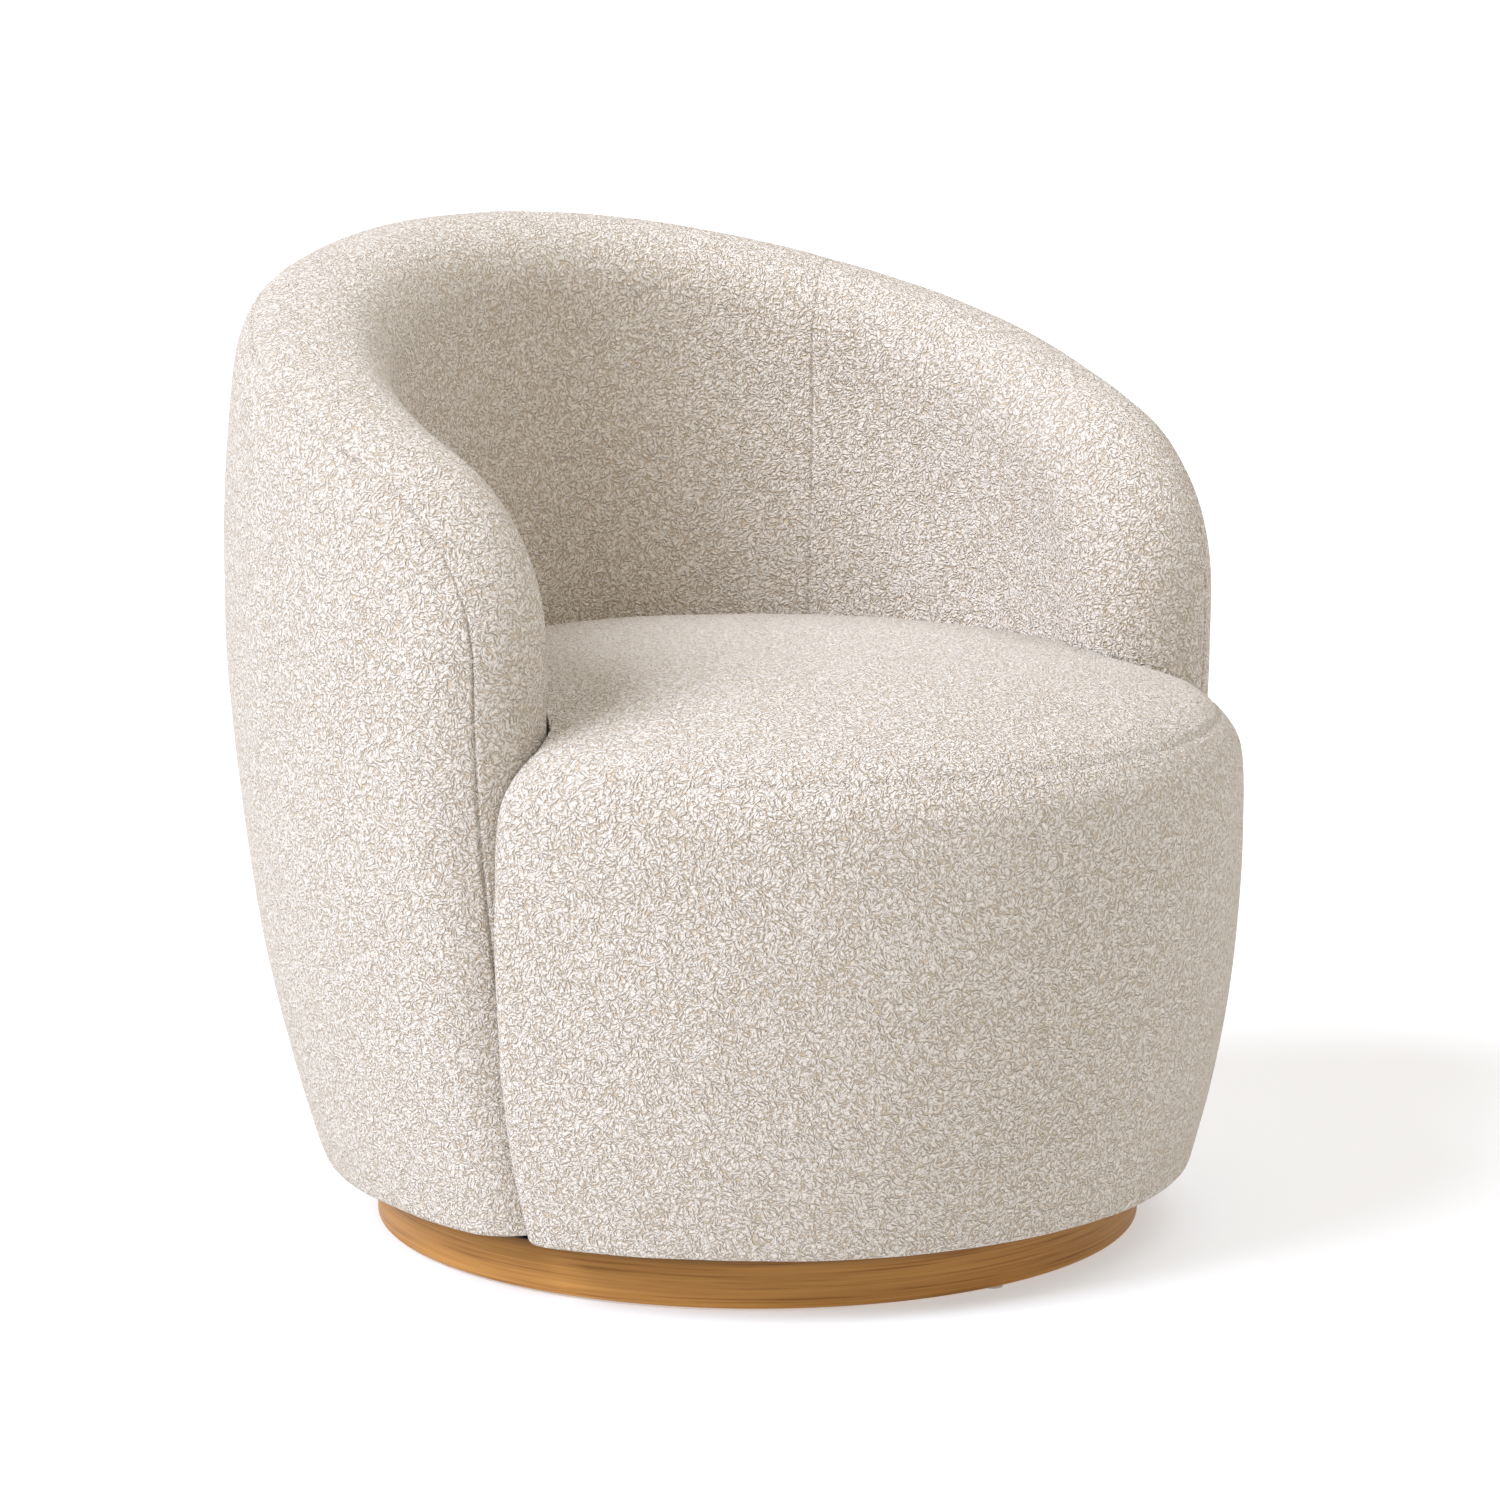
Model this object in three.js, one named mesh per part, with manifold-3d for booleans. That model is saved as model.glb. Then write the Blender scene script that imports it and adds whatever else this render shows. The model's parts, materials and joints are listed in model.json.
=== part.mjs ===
// Swivel tub armchair: an upholstered drum on a round oak plinth. Millimetres, +Z up.
// The origin is on the floor under the plinth's centre, and the chair faces -Y.
import * as THREE from 'three';
import { mergeVertices } from 'three/addons/utils/BufferGeometryUtils.js';
import Module from 'manifold-3d';

const wasm = await Module();
wasm.setup();

// ---- driving dimensions -------------------------------------------------------------
// Drum: a barrel whose radius follows an ellipse arc, leaning back a little as it rises.
const DRUM_RADIUS = 390;
const DRUM_WIDEST_Z = 454;
const DRUM_HALF_HEIGHT = 769;
const DRUM_LEAN = 0.05;
const DRUM_FOOT_Z = 50;
const DRUM_FROM_Z = 30;
const DRUM_TO_Z = 780;

// Rim in side view: a straight slope from the back to the arms, a round corner, then the
// nearly upright arm front.
const RIM_HEIGHT_AT_AXIS = 623.7;
const RIM_SLOPE = 0.38;
const RIM_CORNER = 158;
const ARM_FRONT_Y = -130;
const ARM_FRONT_LEAN = -0.01;
const WALL = 120;
const RIM_RADIUS = WALL / 2;
const SEAM_DROP = 40;
const BACK_SEAM_ANGLE = THREE.MathUtils.degToRad(48);

// Seat block: a barrel front, a shallow dome on top, and a tongue that fills the tub.
const SEAT_RADIUS = 368.5;
const SEAT_WIDEST_Z = 300;
const SEAT_LOWER_HALF = 592;
const SEAT_SHOULDER_DROP = 15;
const SEAT_SHOULDER_POWER = 5;
const SEAT_SEAM_Z = 395;
const SEAT_CROWN_Z = 440;
const SEAT_DOME_POWER = 3.2;
const SEAT_DOME_SPREAD = 1.3;
const SEAT_SIDE_SPREAD = 1.5;
const SEAT_TO_ARM = 3;
const NECK_X = 247;
const NECK_FROM_Y = -190;
const NECK_TO_Y = -60;

// Upholstery layers and small clearances.
const COVER = 3;
const GAP = 0.3;
const SKIRT_Z = 47;
const FRONT_FOAM = 20;
const PANEL = 3;
const PANEL_INSET = 7.5;
const FOAM_FROM_Z = 330;

// Timber frame.
const BOARD_BOTTOM_Z = 48;
const BOARD_TOP_Z = 66;
const BOARD_RADIUS = 325;
const BOARD_BORE = 20;
const FRAME_OUTER = 11;
const FRAME_INNER = 50;
const RAIL_OUTER = 15;
const RAIL_TOP_DROP = 38;
const RAIL_DEPTH = 30;
const ARM_POST_TOP_Z = 440;
const POST_WIDTH = 28;
const POST_ANGLES = [-76, -38, 0, 38, 76];
const SEAT_RAIL_BOTTOM_Z = 288;
const SEAT_RAIL_TOP_Z = 330;
const SEAT_RAIL_WIDTH = 25;
const SIDE_RAIL_X = 198;
const SEAT_RAIL_OUTER = COVER + FRONT_FOAM + PANEL + 3 * GAP;
const FRONT_RAIL_INNER = 280;
const FRONT_RAIL_Y = -165;
const BACK_RAIL_OUTER = WALL + 6;
const BACK_RAIL_DEPTH = 35;
const BACK_RAIL_Y = 120;
const STILE_WIDTH = 60;
const STILE_YS = [['front', 0], ['rear', 90]];
const BRACE_X = 60;
const BRACE_Y = -265;

// Seat suspension.
const SPRING_XS = [-160, -80, 0, 80, 160];
const SPRING_WIRE = 1.9;
const SPRING_WAVES = 9;
const SPRING_SWING = 16;
const SPRING_ARCH = 11;
const SPRING_FRONT_RADIUS = 318.5;
const SPRING_BACK_RADIUS = 240;
const SPRING_BACK_Y = 13;
const PAD_BOTTOM_Z = 347;
const PAD_TOP_Z = 350;
const PAD_INSET = COVER + 6;

// Plinth and swivel bearing.
const PLINTH_RADIUS = 293;
const PLINTH_WALL = 20;
const PLINTH_BOTTOM_Z = 2;
const PLINTH_TOP_Z = 43;
const PLINTH_CHAMFER = 1.5;
const PLINTH_BOARD_BOTTOM_Z = 18;
const PLINTH_BOARD_TOP_Z = 36;
const GLIDE_RADIUS = 8;
const GLIDE_COUNT = 4;
const PLATE_THICK = 2.5;
const PLATE_RADIUS = 150;
const PLATE_BORE = 8.5;
const LOWER_PLATE_Z = PLINTH_BOARD_TOP_Z + GAP;
const UPPER_PLATE_Z = BOARD_BOTTOM_Z - GAP - PLATE_THICK;
const BALL_CIRCLE = 118;
const BALL_RADIUS = 3.4;
const BALL_COUNT = 8;
const RACE_DEPTH = 1.2;
const CAGE_HALF_WIDTH = 8;
const CAGE_HALF_THICK = 0.8;
const PIVOT_RADIUS = 8;
const PIVOT_TOP_Z = 62;
const PIVOT_HEAD_RADIUS = 14;
const PIVOT_HEAD_DEPTH = 5;
const NUT_DEPTH = 8;
const FOOT_RADIUS = 40;
const SCREW_CIRCLE = 138;
const SCREW_COUNT = 4;
const SCREW_LENGTH = 15;
const SCREW_SHAFT = 2;
const SCREW_HEAD = 4;
const SCREW_HEAD_DEPTH = 1.8;
const SCREW_PILOT = 2.3;
const PLATE_HOLE = 2.6;

// Facets: sides of the big rounds, of the plinth, of bores and of screws, then the steps.
const SIDES = 42;
const PLINTH_SIDES = 60;
const BORE_SIDES = 16;
const SCREW_SIDES = 8;
const DRUM_STEPS = 6;
const CORNER_STEPS = 8;
const RIM_STEPS = 12;
const TUBE_SIDES = 12;
const TUBE_STEPS = 42;

// A reach beyond the chair on every side, for the solids that cut others.
const FAR = 900;
const CHAIR_SIDES = [['left', -1], ['right', 1]];

// ---- materials ----------------------------------------------------------------------
const boucle = () => new THREE.MeshStandardMaterial({ color: 0xe6ddd1, roughness: 0.95, metalness: 0 });
const oak = () => new THREE.MeshStandardMaterial({ color: 0xb58449, roughness: 0.5, metalness: 0 });
const plywood = () => new THREE.MeshStandardMaterial({ color: 0xd2b184, roughness: 0.75, metalness: 0 });
const foam = () => new THREE.MeshStandardMaterial({ color: 0xe9e2c4, roughness: 0.98, metalness: 0 });
const felt = () => new THREE.MeshStandardMaterial({ color: 0x4b4641, roughness: 1, metalness: 0 });
const cloth = () => new THREE.MeshStandardMaterial({ color: 0x24221f, roughness: 1, metalness: 0 });
const rubber = () => new THREE.MeshStandardMaterial({ color: 0x262626, roughness: 0.85, metalness: 0 });
const steel = () => new THREE.MeshStandardMaterial({ color: 0x9a9c9e, roughness: 0.4, metalness: 1 });

// ---- solids -------------------------------------------------------------------------
function toSolid(geometry) {
  geometry.deleteAttribute('normal');
  geometry.deleteAttribute('uv');
  const merged = mergeVertices(geometry, 1e-3);
  const vertProperties = new Float32Array(merged.attributes.position.array);
  const triVerts = new Uint32Array(merged.index.array);
  return new wasm.Manifold(new wasm.Mesh({ numProp: 3, vertProperties, triVerts }));
}

function toGeometry(solid) {
  const mesh = solid.getMesh();
  const geometry = new THREE.BufferGeometry();
  geometry.setAttribute('position', new THREE.BufferAttribute(mesh.vertProperties, 3));
  geometry.setIndex(new THREE.BufferAttribute(mesh.triVerts, 1));
  geometry.computeVertexNormals();
  return geometry;
}

function lathe(profile, sides = SIDES) {
  const points = profile.map(([radius, z]) => new THREE.Vector2(Math.max(radius, 0), z));
  const geometry = new THREE.LatheGeometry(points, sides);
  geometry.rotateX(Math.PI / 2);
  return toSolid(geometry);
}

function disc(radius, z0, z1, sides = SIDES) {
  return lathe([[0, z0], [radius, z0], [radius, z1], [0, z1]], sides);
}

function ring(outer, inner, z0, z1, sides = SIDES) {
  return lathe([[inner, z0], [outer, z0], [outer, z1], [inner, z1], [inner, z0]], sides);
}

function box(x0, x1, y0, y1, z0, z1) {
  const geometry = new THREE.BoxGeometry(x1 - x0, y1 - y0, z1 - z0);
  geometry.translate((x0 + x1) / 2, (y0 + y1) / 2, (z0 + z1) / 2);
  return toSolid(geometry);
}

const slice = (solid, z0, z1 = FAR) => solid.intersect(box(-FAR, FAR, -FAR, FAR, z0, z1));

// The part of a solid on one side of the middle, from an edge that far out.
function halfOf(solid, sign, edge = 0) {
  const [x0, x1] = sign < 0 ? [-FAR, -edge] : [edge, FAR];
  return solid.intersect(box(x0, x1, -FAR, FAR, 0, FAR));
}

function circleShape(radius, sides) {
  const outline = new THREE.EllipseCurve(0, 0, radius, radius).getPoints(sides);
  return new THREE.Shape(outline.slice(0, sides));
}

// A side-view outline, given as [y, z] points, made into a prism right across X.
function sidePrism(points) {
  const shape = new THREE.Shape(points.map(([y, z]) => new THREE.Vector2(y, z)));
  const geometry = new THREE.ExtrudeGeometry(shape, { depth: 2 * FAR, bevelEnabled: false });
  geometry.translate(0, 0, -FAR);
  const turn = new THREE.Matrix4().makeBasis(
    new THREE.Vector3(0, 1, 0), new THREE.Vector3(0, 0, 1), new THREE.Vector3(1, 0, 0));
  geometry.applyMatrix4(turn);
  return toSolid(geometry);
}

// ---- the drum -----------------------------------------------------------------------
const drumRadius = (z) => DRUM_RADIUS * Math.sqrt(1 - ((z - DRUM_WIDEST_Z) / DRUM_HALF_HEIGHT) ** 2);
const drumCentre = (z) => DRUM_LEAN * (z - DRUM_FOOT_Z);

function drum(inset) {
  const profile = [[0, DRUM_FROM_Z]];
  for (let i = 0; i <= DRUM_STEPS; i += 1) {
    const z = THREE.MathUtils.lerp(DRUM_FROM_Z, DRUM_TO_Z, i / DRUM_STEPS);
    profile.push([drumRadius(z) - inset, z]);
  }
  profile.push([0, DRUM_TO_Z]);
  const lean = new THREE.Matrix4().set(
    1, 0, 0, 0,
    0, 1, DRUM_LEAN, -DRUM_LEAN * DRUM_FOOT_Z,
    0, 0, 1, 0,
    0, 0, 0, 1);
  return lathe(profile).transform(lean.elements);
}

// The rim in side view, moved inward by an inset: where its slope, corner and front lie.
function rimLayout(inset) {
  const slope = new THREE.Vector2(-1, -RIM_SLOPE).normalize();
  const down = new THREE.Vector2(-ARM_FRONT_LEAN, -1).normalize();
  const slopeIn = new THREE.Vector2(-slope.y, slope.x).multiplyScalar(inset);
  const frontIn = new THREE.Vector2(-down.y, down.x).multiplyScalar(inset);
  const a = new THREE.Vector2(0, RIM_HEIGHT_AT_AXIS).add(slopeIn);
  const b = new THREE.Vector2(ARM_FRONT_Y, 0).add(frontIn);
  const along = b.clone().sub(a).cross(down) / slope.cross(down);
  const corner = a.clone().addScaledVector(slope, along);
  const radius = RIM_CORNER - inset;
  const reach = radius * Math.tan(slope.angleTo(down) / 2);
  const start = corner.clone().addScaledVector(slope, -reach);
  const end = corner.clone().addScaledVector(down, reach);
  const centre = start.clone().addScaledVector(slopeIn.normalize(), radius);
  return { slope, down, start, end, centre, radius };
}

function cornerPoints(layout, count) {
  const from = layout.start.clone().sub(layout.centre).angle();
  const to = layout.end.clone().sub(layout.centre).angle();
  const points = [];
  for (let i = 0; i <= count; i += 1) {
    const angle = from + ((to - from) * i) / count;
    points.push([
      layout.centre.x + layout.radius * Math.cos(angle),
      layout.centre.y + layout.radius * Math.sin(angle)]);
  }
  return points;
}

// Everything under the rim, once the rim is moved inward by the inset.
function underRim(inset) {
  const layout = rimLayout(inset);
  const back = layout.start.clone().addScaledVector(layout.slope, -FAR);
  const foot = layout.end.clone().addScaledVector(layout.down, layout.end.y + DRUM_FROM_Z);
  const front = [...cornerPoints(layout, CORNER_STEPS), [foot.x, foot.y]];
  return sidePrism([[back.x, back.y], ...front, [back.x, foot.y]]);
}

// A curved wall between two insets from the drum's face, its edge held back from the rim.
const wall = (outer, inner, edge) => drum(outer).subtract(drum(inner)).intersect(underRim(edge));

// The rim's centre line, from the foot of one arm over the back to the foot of the other.
function rimCurve() {
  const layout = rimLayout(RIM_RADIUS);
  const half = [];
  const armX = (y, z) => Math.sqrt((drumRadius(z) - RIM_RADIUS) ** 2 - (y - drumCentre(z)) ** 2);
  const lastAngle = Math.acos((layout.start.x - drumCentre(layout.start.y))
    / (drumRadius(layout.start.y) - RIM_RADIUS));
  for (let i = 0; i <= RIM_STEPS; i += 1) {
    const angle = (lastAngle * i) / RIM_STEPS;
    let z = layout.start.y;
    let y = 0;
    for (let pass = 0; pass < 6; pass += 1) {
      y = drumCentre(z) + (drumRadius(z) - RIM_RADIUS) * Math.cos(angle);
      z = layout.start.y + RIM_SLOPE * (y - layout.start.x);
    }
    half.push(new THREE.Vector3((drumRadius(z) - RIM_RADIUS) * Math.sin(angle), y, z));
  }
  for (const [y, z] of cornerPoints(layout, RIM_STEPS / 2).slice(1)) {
    half.push(new THREE.Vector3(armX(y, z), y, z));
  }
  for (let i = 1; i <= RIM_STEPS / 2; i += 1) {
    const reach = ((layout.end.y - PLINTH_BOARD_BOTTOM_Z) * i) / (RIM_STEPS / 2);
    const point = layout.end.clone().addScaledVector(layout.down, reach);
    half.push(new THREE.Vector3(armX(point.x, point.y), point.x, point.y));
  }
  const mirrored = half.slice(1).reverse().map((p) => new THREE.Vector3(-p.x, p.y, p.z));
  return new THREE.CatmullRomCurve3([...mirrored, ...half]);
}

const RIM_CURVE = rimCurve();

function rimTube(radius) {
  const options = { steps: TUBE_STEPS, bevelEnabled: false, extrudePath: RIM_CURVE };
  return toSolid(new THREE.ExtrudeGeometry(circleShape(radius, TUBE_SIDES), options));
}

// A wedge about the Z axis between two angles that are measured from +Y toward +X.
function wedge(from, to) {
  const tip = (angle) => new THREE.Vector2(Math.sin(angle), Math.cos(angle)).multiplyScalar(FAR);
  const apex = new THREE.Vector2(0, 1.5 * FAR);
  const shape = new THREE.Shape([new THREE.Vector2(0, 0), tip(to), apex, tip(from)]);
  return toSolid(new THREE.ExtrudeGeometry(shape, { depth: FAR, bevelEnabled: false }));
}

// ---- the seat block -----------------------------------------------------------------
function seatRadius(z) {
  if (z < SEAT_WIDEST_Z) {
    return SEAT_RADIUS * Math.sqrt(1 - ((z - SEAT_WIDEST_Z) / SEAT_LOWER_HALF) ** 2);
  }
  const rise = (z - SEAT_WIDEST_Z) / (SEAT_SEAM_Z - SEAT_WIDEST_Z);
  return SEAT_RADIUS - SEAT_SHOULDER_DROP * rise ** SEAT_SHOULDER_POWER;
}

function seatLathe(inset) {
  const profile = [[0, DRUM_FROM_Z]];
  for (let i = 0; i <= DRUM_STEPS; i += 1) {
    const share = 1 - (1 - i / DRUM_STEPS) ** SEAT_SIDE_SPREAD;
    const z = THREE.MathUtils.lerp(DRUM_FROM_Z, SEAT_SEAM_Z, share);
    profile.push([seatRadius(z) - inset, z - (i === DRUM_STEPS ? inset / 2 : 0)]);
  }
  const edge = seatRadius(SEAT_SEAM_Z);
  for (let i = 1; i < DRUM_STEPS; i += 1) {
    const reach = 1 - (i / (DRUM_STEPS - 1)) ** SEAT_DOME_SPREAD;
    const drop = (SEAT_CROWN_Z - SEAT_SEAM_Z) * reach ** SEAT_DOME_POWER;
    profile.push([(edge - inset) * reach, SEAT_CROWN_Z - drop - inset]);
  }
  return lathe(profile);
}

// The space in front of the arms.
function beforeArms(inset) {
  const y = (z) => ARM_FRONT_Y + ARM_FRONT_LEAN * z - SEAT_TO_ARM - inset;
  return sidePrism([[y(0), 0], [y(FAR), FAR], [-FAR, FAR], [-FAR, 0]]);
}

const seatFront = (inset) => seatLathe(inset).intersect(beforeArms(inset));

// The tongue of the seat that fills the tub and the neck between the arms' rounded ends.
function tongue(inset) {
  const neck = box(-NECK_X + inset, NECK_X - inset, NECK_FROM_Y, NECK_TO_Y, 0, FAR);
  return drum(WALL + 1 + inset).add(neck);
}

const seatBlock = (inset) => seatLathe(inset).intersect(beforeArms(inset).add(tongue(inset)));

// ---- assembly -----------------------------------------------------------------------
const chair = new THREE.Group();

function place(name, solid, material) {
  const mesh = new THREE.Mesh(toGeometry(solid), material);
  mesh.name = name;
  chair.add(mesh);
  return mesh;
}

function onCircle(count, radius, start, visit) {
  for (let i = 0; i < count; i += 1) {
    const angle = start + (2 * Math.PI * i) / count;
    visit(i, radius * Math.sin(angle), radius * Math.cos(angle));
  }
}

// A screw standing on its tip at the origin, head up.
function screw() {
  const top = SCREW_LENGTH + SCREW_HEAD_DEPTH;
  return lathe([
    [0, 0], [SCREW_SHAFT / 2, 0], [SCREW_SHAFT, SCREW_LENGTH / 5], [SCREW_SHAFT, SCREW_LENGTH],
    [SCREW_HEAD, SCREW_LENGTH], [SCREW_HEAD, top], [0, top]], SCREW_SIDES);
}

// A solid with the four swivel screws' holes through it.
function drilled(solid, radius, z0, z1) {
  let rest = solid;
  onCircle(SCREW_COUNT, SCREW_CIRCLE, Math.PI / 4, (i, x, y) => {
    rest = rest.subtract(disc(radius, z0, z1, SCREW_SIDES).translate([x, y, 0]));
  });
  return rest;
}

function addPlinth() {
  const inner = PLINTH_RADIUS - PLINTH_WALL;
  const hoop = lathe([
    [inner, PLINTH_BOTTOM_Z], [PLINTH_RADIUS - PLINTH_CHAMFER, PLINTH_BOTTOM_Z],
    [PLINTH_RADIUS, PLINTH_BOTTOM_Z + PLINTH_CHAMFER], [PLINTH_RADIUS, PLINTH_TOP_Z],
    [inner, PLINTH_TOP_Z], [inner, PLINTH_BOTTOM_Z]], PLINTH_SIDES);
  place('plinth_ring', hoop, oak());
  const board = disc(inner - GAP, PLINTH_BOARD_BOTTOM_Z, PLINTH_BOARD_TOP_Z, PLINTH_SIDES)
    .subtract(disc(PIVOT_RADIUS + GAP, 0, FAR, BORE_SIDES));
  place('plinth_board', drilled(board, SCREW_PILOT, PLINTH_BOARD_BOTTOM_Z + 4, FAR), plywood());
  onCircle(GLIDE_COUNT, PLINTH_RADIUS - PLINTH_WALL / 2, Math.PI, (i, x, y) => {
    const pad = disc(GLIDE_RADIUS, 0, PLINTH_BOTTOM_Z - GAP, BORE_SIDES);
    place(`plinth_glide_${i + 1}`, pad, felt()).position.set(x, y, 0);
  });
}

// A round steel plate with a raceway groove in its upper or lower face.
function bearingPlate(z0, grooveOnTop) {
  const z1 = z0 + PLATE_THICK;
  const [face, floor] = grooveOnTop ? [z1, z1 - RACE_DEPTH] : [z0, z0 + RACE_DEPTH];
  const back = grooveOnTop ? z0 : z1;
  const race = [
    [BALL_CIRCLE - BALL_RADIUS, face], [BALL_CIRCLE, floor], [BALL_CIRCLE + BALL_RADIUS, face]];
  const rim = [[PLATE_RADIUS, face], [PLATE_RADIUS, back]];
  const section = [[PLATE_BORE, face], ...race, ...rim, [PLATE_BORE, back]];
  const outline = grooveOnTop ? section.reverse() : section;
  return drilled(lathe([...outline, outline[0]]), PLATE_HOLE, z0 - 1, z1 + 1);
}

function addBearing() {
  place('swivel_lower_plate', bearingPlate(LOWER_PLATE_Z, true), steel());
  place('swivel_upper_plate', bearingPlate(UPPER_PLATE_Z, false), steel());
  const ballZ = (LOWER_PLATE_Z + PLATE_THICK + UPPER_PLATE_Z) / 2;
  let cage = ring(
    BALL_CIRCLE + CAGE_HALF_WIDTH, BALL_CIRCLE - CAGE_HALF_WIDTH,
    ballZ - CAGE_HALF_THICK, ballZ + CAGE_HALF_THICK, 3 * BALL_COUNT);
  onCircle(BALL_COUNT, BALL_CIRCLE, 0, (i, x, y) => {
    const ball = toSolid(new THREE.SphereGeometry(BALL_RADIUS, 6, 5));
    cage = cage.add(ball.translate([x, y, ballZ]));
  });
  place('ball_cage', cage, steel());
  onCircle(SCREW_COUNT, SCREW_CIRCLE, Math.PI / 4, (i, x, y) => {
    const lower = place(`lower_plate_screw_${i + 1}`, screw(), steel());
    lower.position.set(x, y, LOWER_PLATE_Z + PLATE_THICK + GAP - SCREW_LENGTH);
    const upper = place(`upper_plate_screw_${i + 1}`, screw(), steel());
    upper.rotation.x = Math.PI;
    upper.position.set(x, y, UPPER_PLATE_Z - GAP + SCREW_LENGTH);
  });
}

// The bolt that everything turns about, its nut, and the foot that carries its head.
function addPivot() {
  const under = PLINTH_BOARD_BOTTOM_Z - GAP;
  const headZ = under - PIVOT_HEAD_DEPTH;
  const bolt = lathe([
    [0, headZ], [PIVOT_HEAD_RADIUS, headZ], [PIVOT_HEAD_RADIUS, under], [PIVOT_RADIUS, under],
    [PIVOT_RADIUS, PIVOT_TOP_Z], [0, PIVOT_TOP_Z]], BORE_SIDES);
  place('pivot_bolt', bolt, steel());
  const nutZ = BOARD_BOTTOM_Z + GAP;
  const nut = disc(PIVOT_HEAD_RADIUS, nutZ, nutZ + NUT_DEPTH, 6)
    .subtract(disc(PIVOT_RADIUS + GAP, 0, FAR, BORE_SIDES));
  place('pivot_nut', nut, steel());
  const foot = disc(FOOT_RADIUS, 0, under)
    .subtract(disc(PIVOT_HEAD_RADIUS + GAP, headZ - GAP, FAR, BORE_SIDES));
  place('plinth_foot', foot, rubber());
}

function addBottomBoard() {
  const board = ring(BOARD_RADIUS, BOARD_BORE, BOARD_BOTTOM_Z, BOARD_TOP_Z);
  place('bottom_board', drilled(board, SCREW_PILOT, 0, UPPER_PLATE_Z + SCREW_LENGTH), plywood());
  const [outer, inner] = [BOARD_RADIUS - SCREW_HEAD * 2, PLATE_RADIUS + SCREW_HEAD];
  place('dust_cloth', ring(outer, inner, SKIRT_Z, BOARD_BOTTOM_Z - GAP), cloth());
}

function radialSlab(angle, width) {
  const geometry = new THREE.BoxGeometry(width, FAR, FAR);
  geometry.translate(0, FAR / 2, FAR / 2);
  geometry.rotateZ(-angle);
  return toSolid(geometry);
}

function addShellFrame() {
  const body = wall(FRAME_OUTER, FRAME_INNER, RAIL_TOP_DROP + RAIL_DEPTH + GAP);
  const upright = slice(body, BOARD_TOP_Z + GAP);
  POST_ANGLES.forEach((angle, i) => {
    const slab = radialSlab(THREE.MathUtils.degToRad(angle), POST_WIDTH);
    place(`back_post_${i + 1}`, upright.intersect(slab), plywood());
  });
  const hoop = wall(RAIL_OUTER, FRAME_INNER, RAIL_TOP_DROP)
    .subtract(underRim(RAIL_TOP_DROP + RAIL_DEPTH));
  place('top_rail', slice(hoop, ARM_POST_TOP_Z + GAP), plywood());
  const posts = slice(hoop, BOARD_TOP_Z + GAP, ARM_POST_TOP_Z);
  for (const [side, sign] of CHAIR_SIDES) {
    place(`arm_post_${side}`, halfOf(posts, sign), plywood());
  }
}

function addSeatFrame() {
  const level = (solid) => slice(solid, SEAT_RAIL_BOTTOM_Z, SEAT_RAIL_TOP_Z);
  const front = seatFront(SEAT_RAIL_OUTER).subtract(disc(FRONT_RAIL_INNER, 0, FAR));
  const beforeTub = box(-FAR, FAR, -FAR, FRONT_RAIL_Y, 0, FAR);
  place('seat_rail_front', level(front).intersect(beforeTub), plywood());
  const hoop = drum(BACK_RAIL_OUTER).subtract(drum(BACK_RAIL_OUTER + BACK_RAIL_DEPTH));
  const behind = (y) => hoop.intersect(box(-FAR, FAR, y, FAR, 0, FAR));
  place('seat_rail_back', level(behind(BACK_RAIL_Y)), plywood());
  const upright = (x, y, halfX, halfY) => box(
    x - halfX, x + halfX, y - halfY, y + halfY, BOARD_TOP_Z + GAP, SEAT_RAIL_BOTTOM_Z - GAP);
  const half = SEAT_RAIL_WIDTH / 2;
  for (const [side, sign] of CHAIR_SIDES) {
    const x = sign * SIDE_RAIL_X;
    const rail = level(drum(BACK_RAIL_OUTER + 2)).intersect(box(x - half, x + half, -FAR, FAR, 0, FAR));
    place(`seat_rail_${side}`, rail.subtract(front).subtract(behind(BACK_RAIL_Y - GAP)), plywood());
    for (const [end, y] of STILE_YS) {
      place(`seat_stile_${side}_${end}`, upright(x, y, half, STILE_WIDTH / 2), plywood());
    }
    const brace = upright(sign * BRACE_X, BRACE_Y - half, STILE_WIDTH / 2, half);
    place(`seat_stile_front_${side}`, brace, plywood());
  }
}

class SpringPath extends THREE.Curve {
  constructor(x) {
    super();
    this.x = x;
    this.front = -Math.sqrt(SPRING_FRONT_RADIUS ** 2 - x ** 2);
    this.back = SPRING_BACK_Y + Math.sqrt(SPRING_BACK_RADIUS ** 2 - x ** 2);
  }

  getPoint(t, target = new THREE.Vector3()) {
    const swing = SPRING_SWING * Math.sin(2 * Math.PI * SPRING_WAVES * t);
    const arch = SPRING_ARCH * Math.sin(Math.PI * t);
    const z = SEAT_RAIL_TOP_Z + GAP + SPRING_WIRE + arch;
    return target.set(this.x + swing, THREE.MathUtils.lerp(this.front, this.back, t), z);
  }
}

function addSprings() {
  const section = circleShape(SPRING_WIRE, 5);
  SPRING_XS.forEach((x, i) => {
    const extrudePath = new SpringPath(x);
    const options = { steps: SPRING_WAVES * 4 + 2, bevelEnabled: false, extrudePath };
    place(`seat_spring_${i + 1}`, toSolid(new THREE.ExtrudeGeometry(section, options)), steel());
  });
  place('spring_pad', slice(seatBlock(PAD_INSET), PAD_BOTTOM_Z, PAD_TOP_Z), felt());
}

// A cover that is stapled down outside the bottom board or on top of it.
const aroundBoard = (solid) => solid.subtract(disc(BOARD_RADIUS + GAP, 0, BOARD_TOP_Z + GAP));

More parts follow.
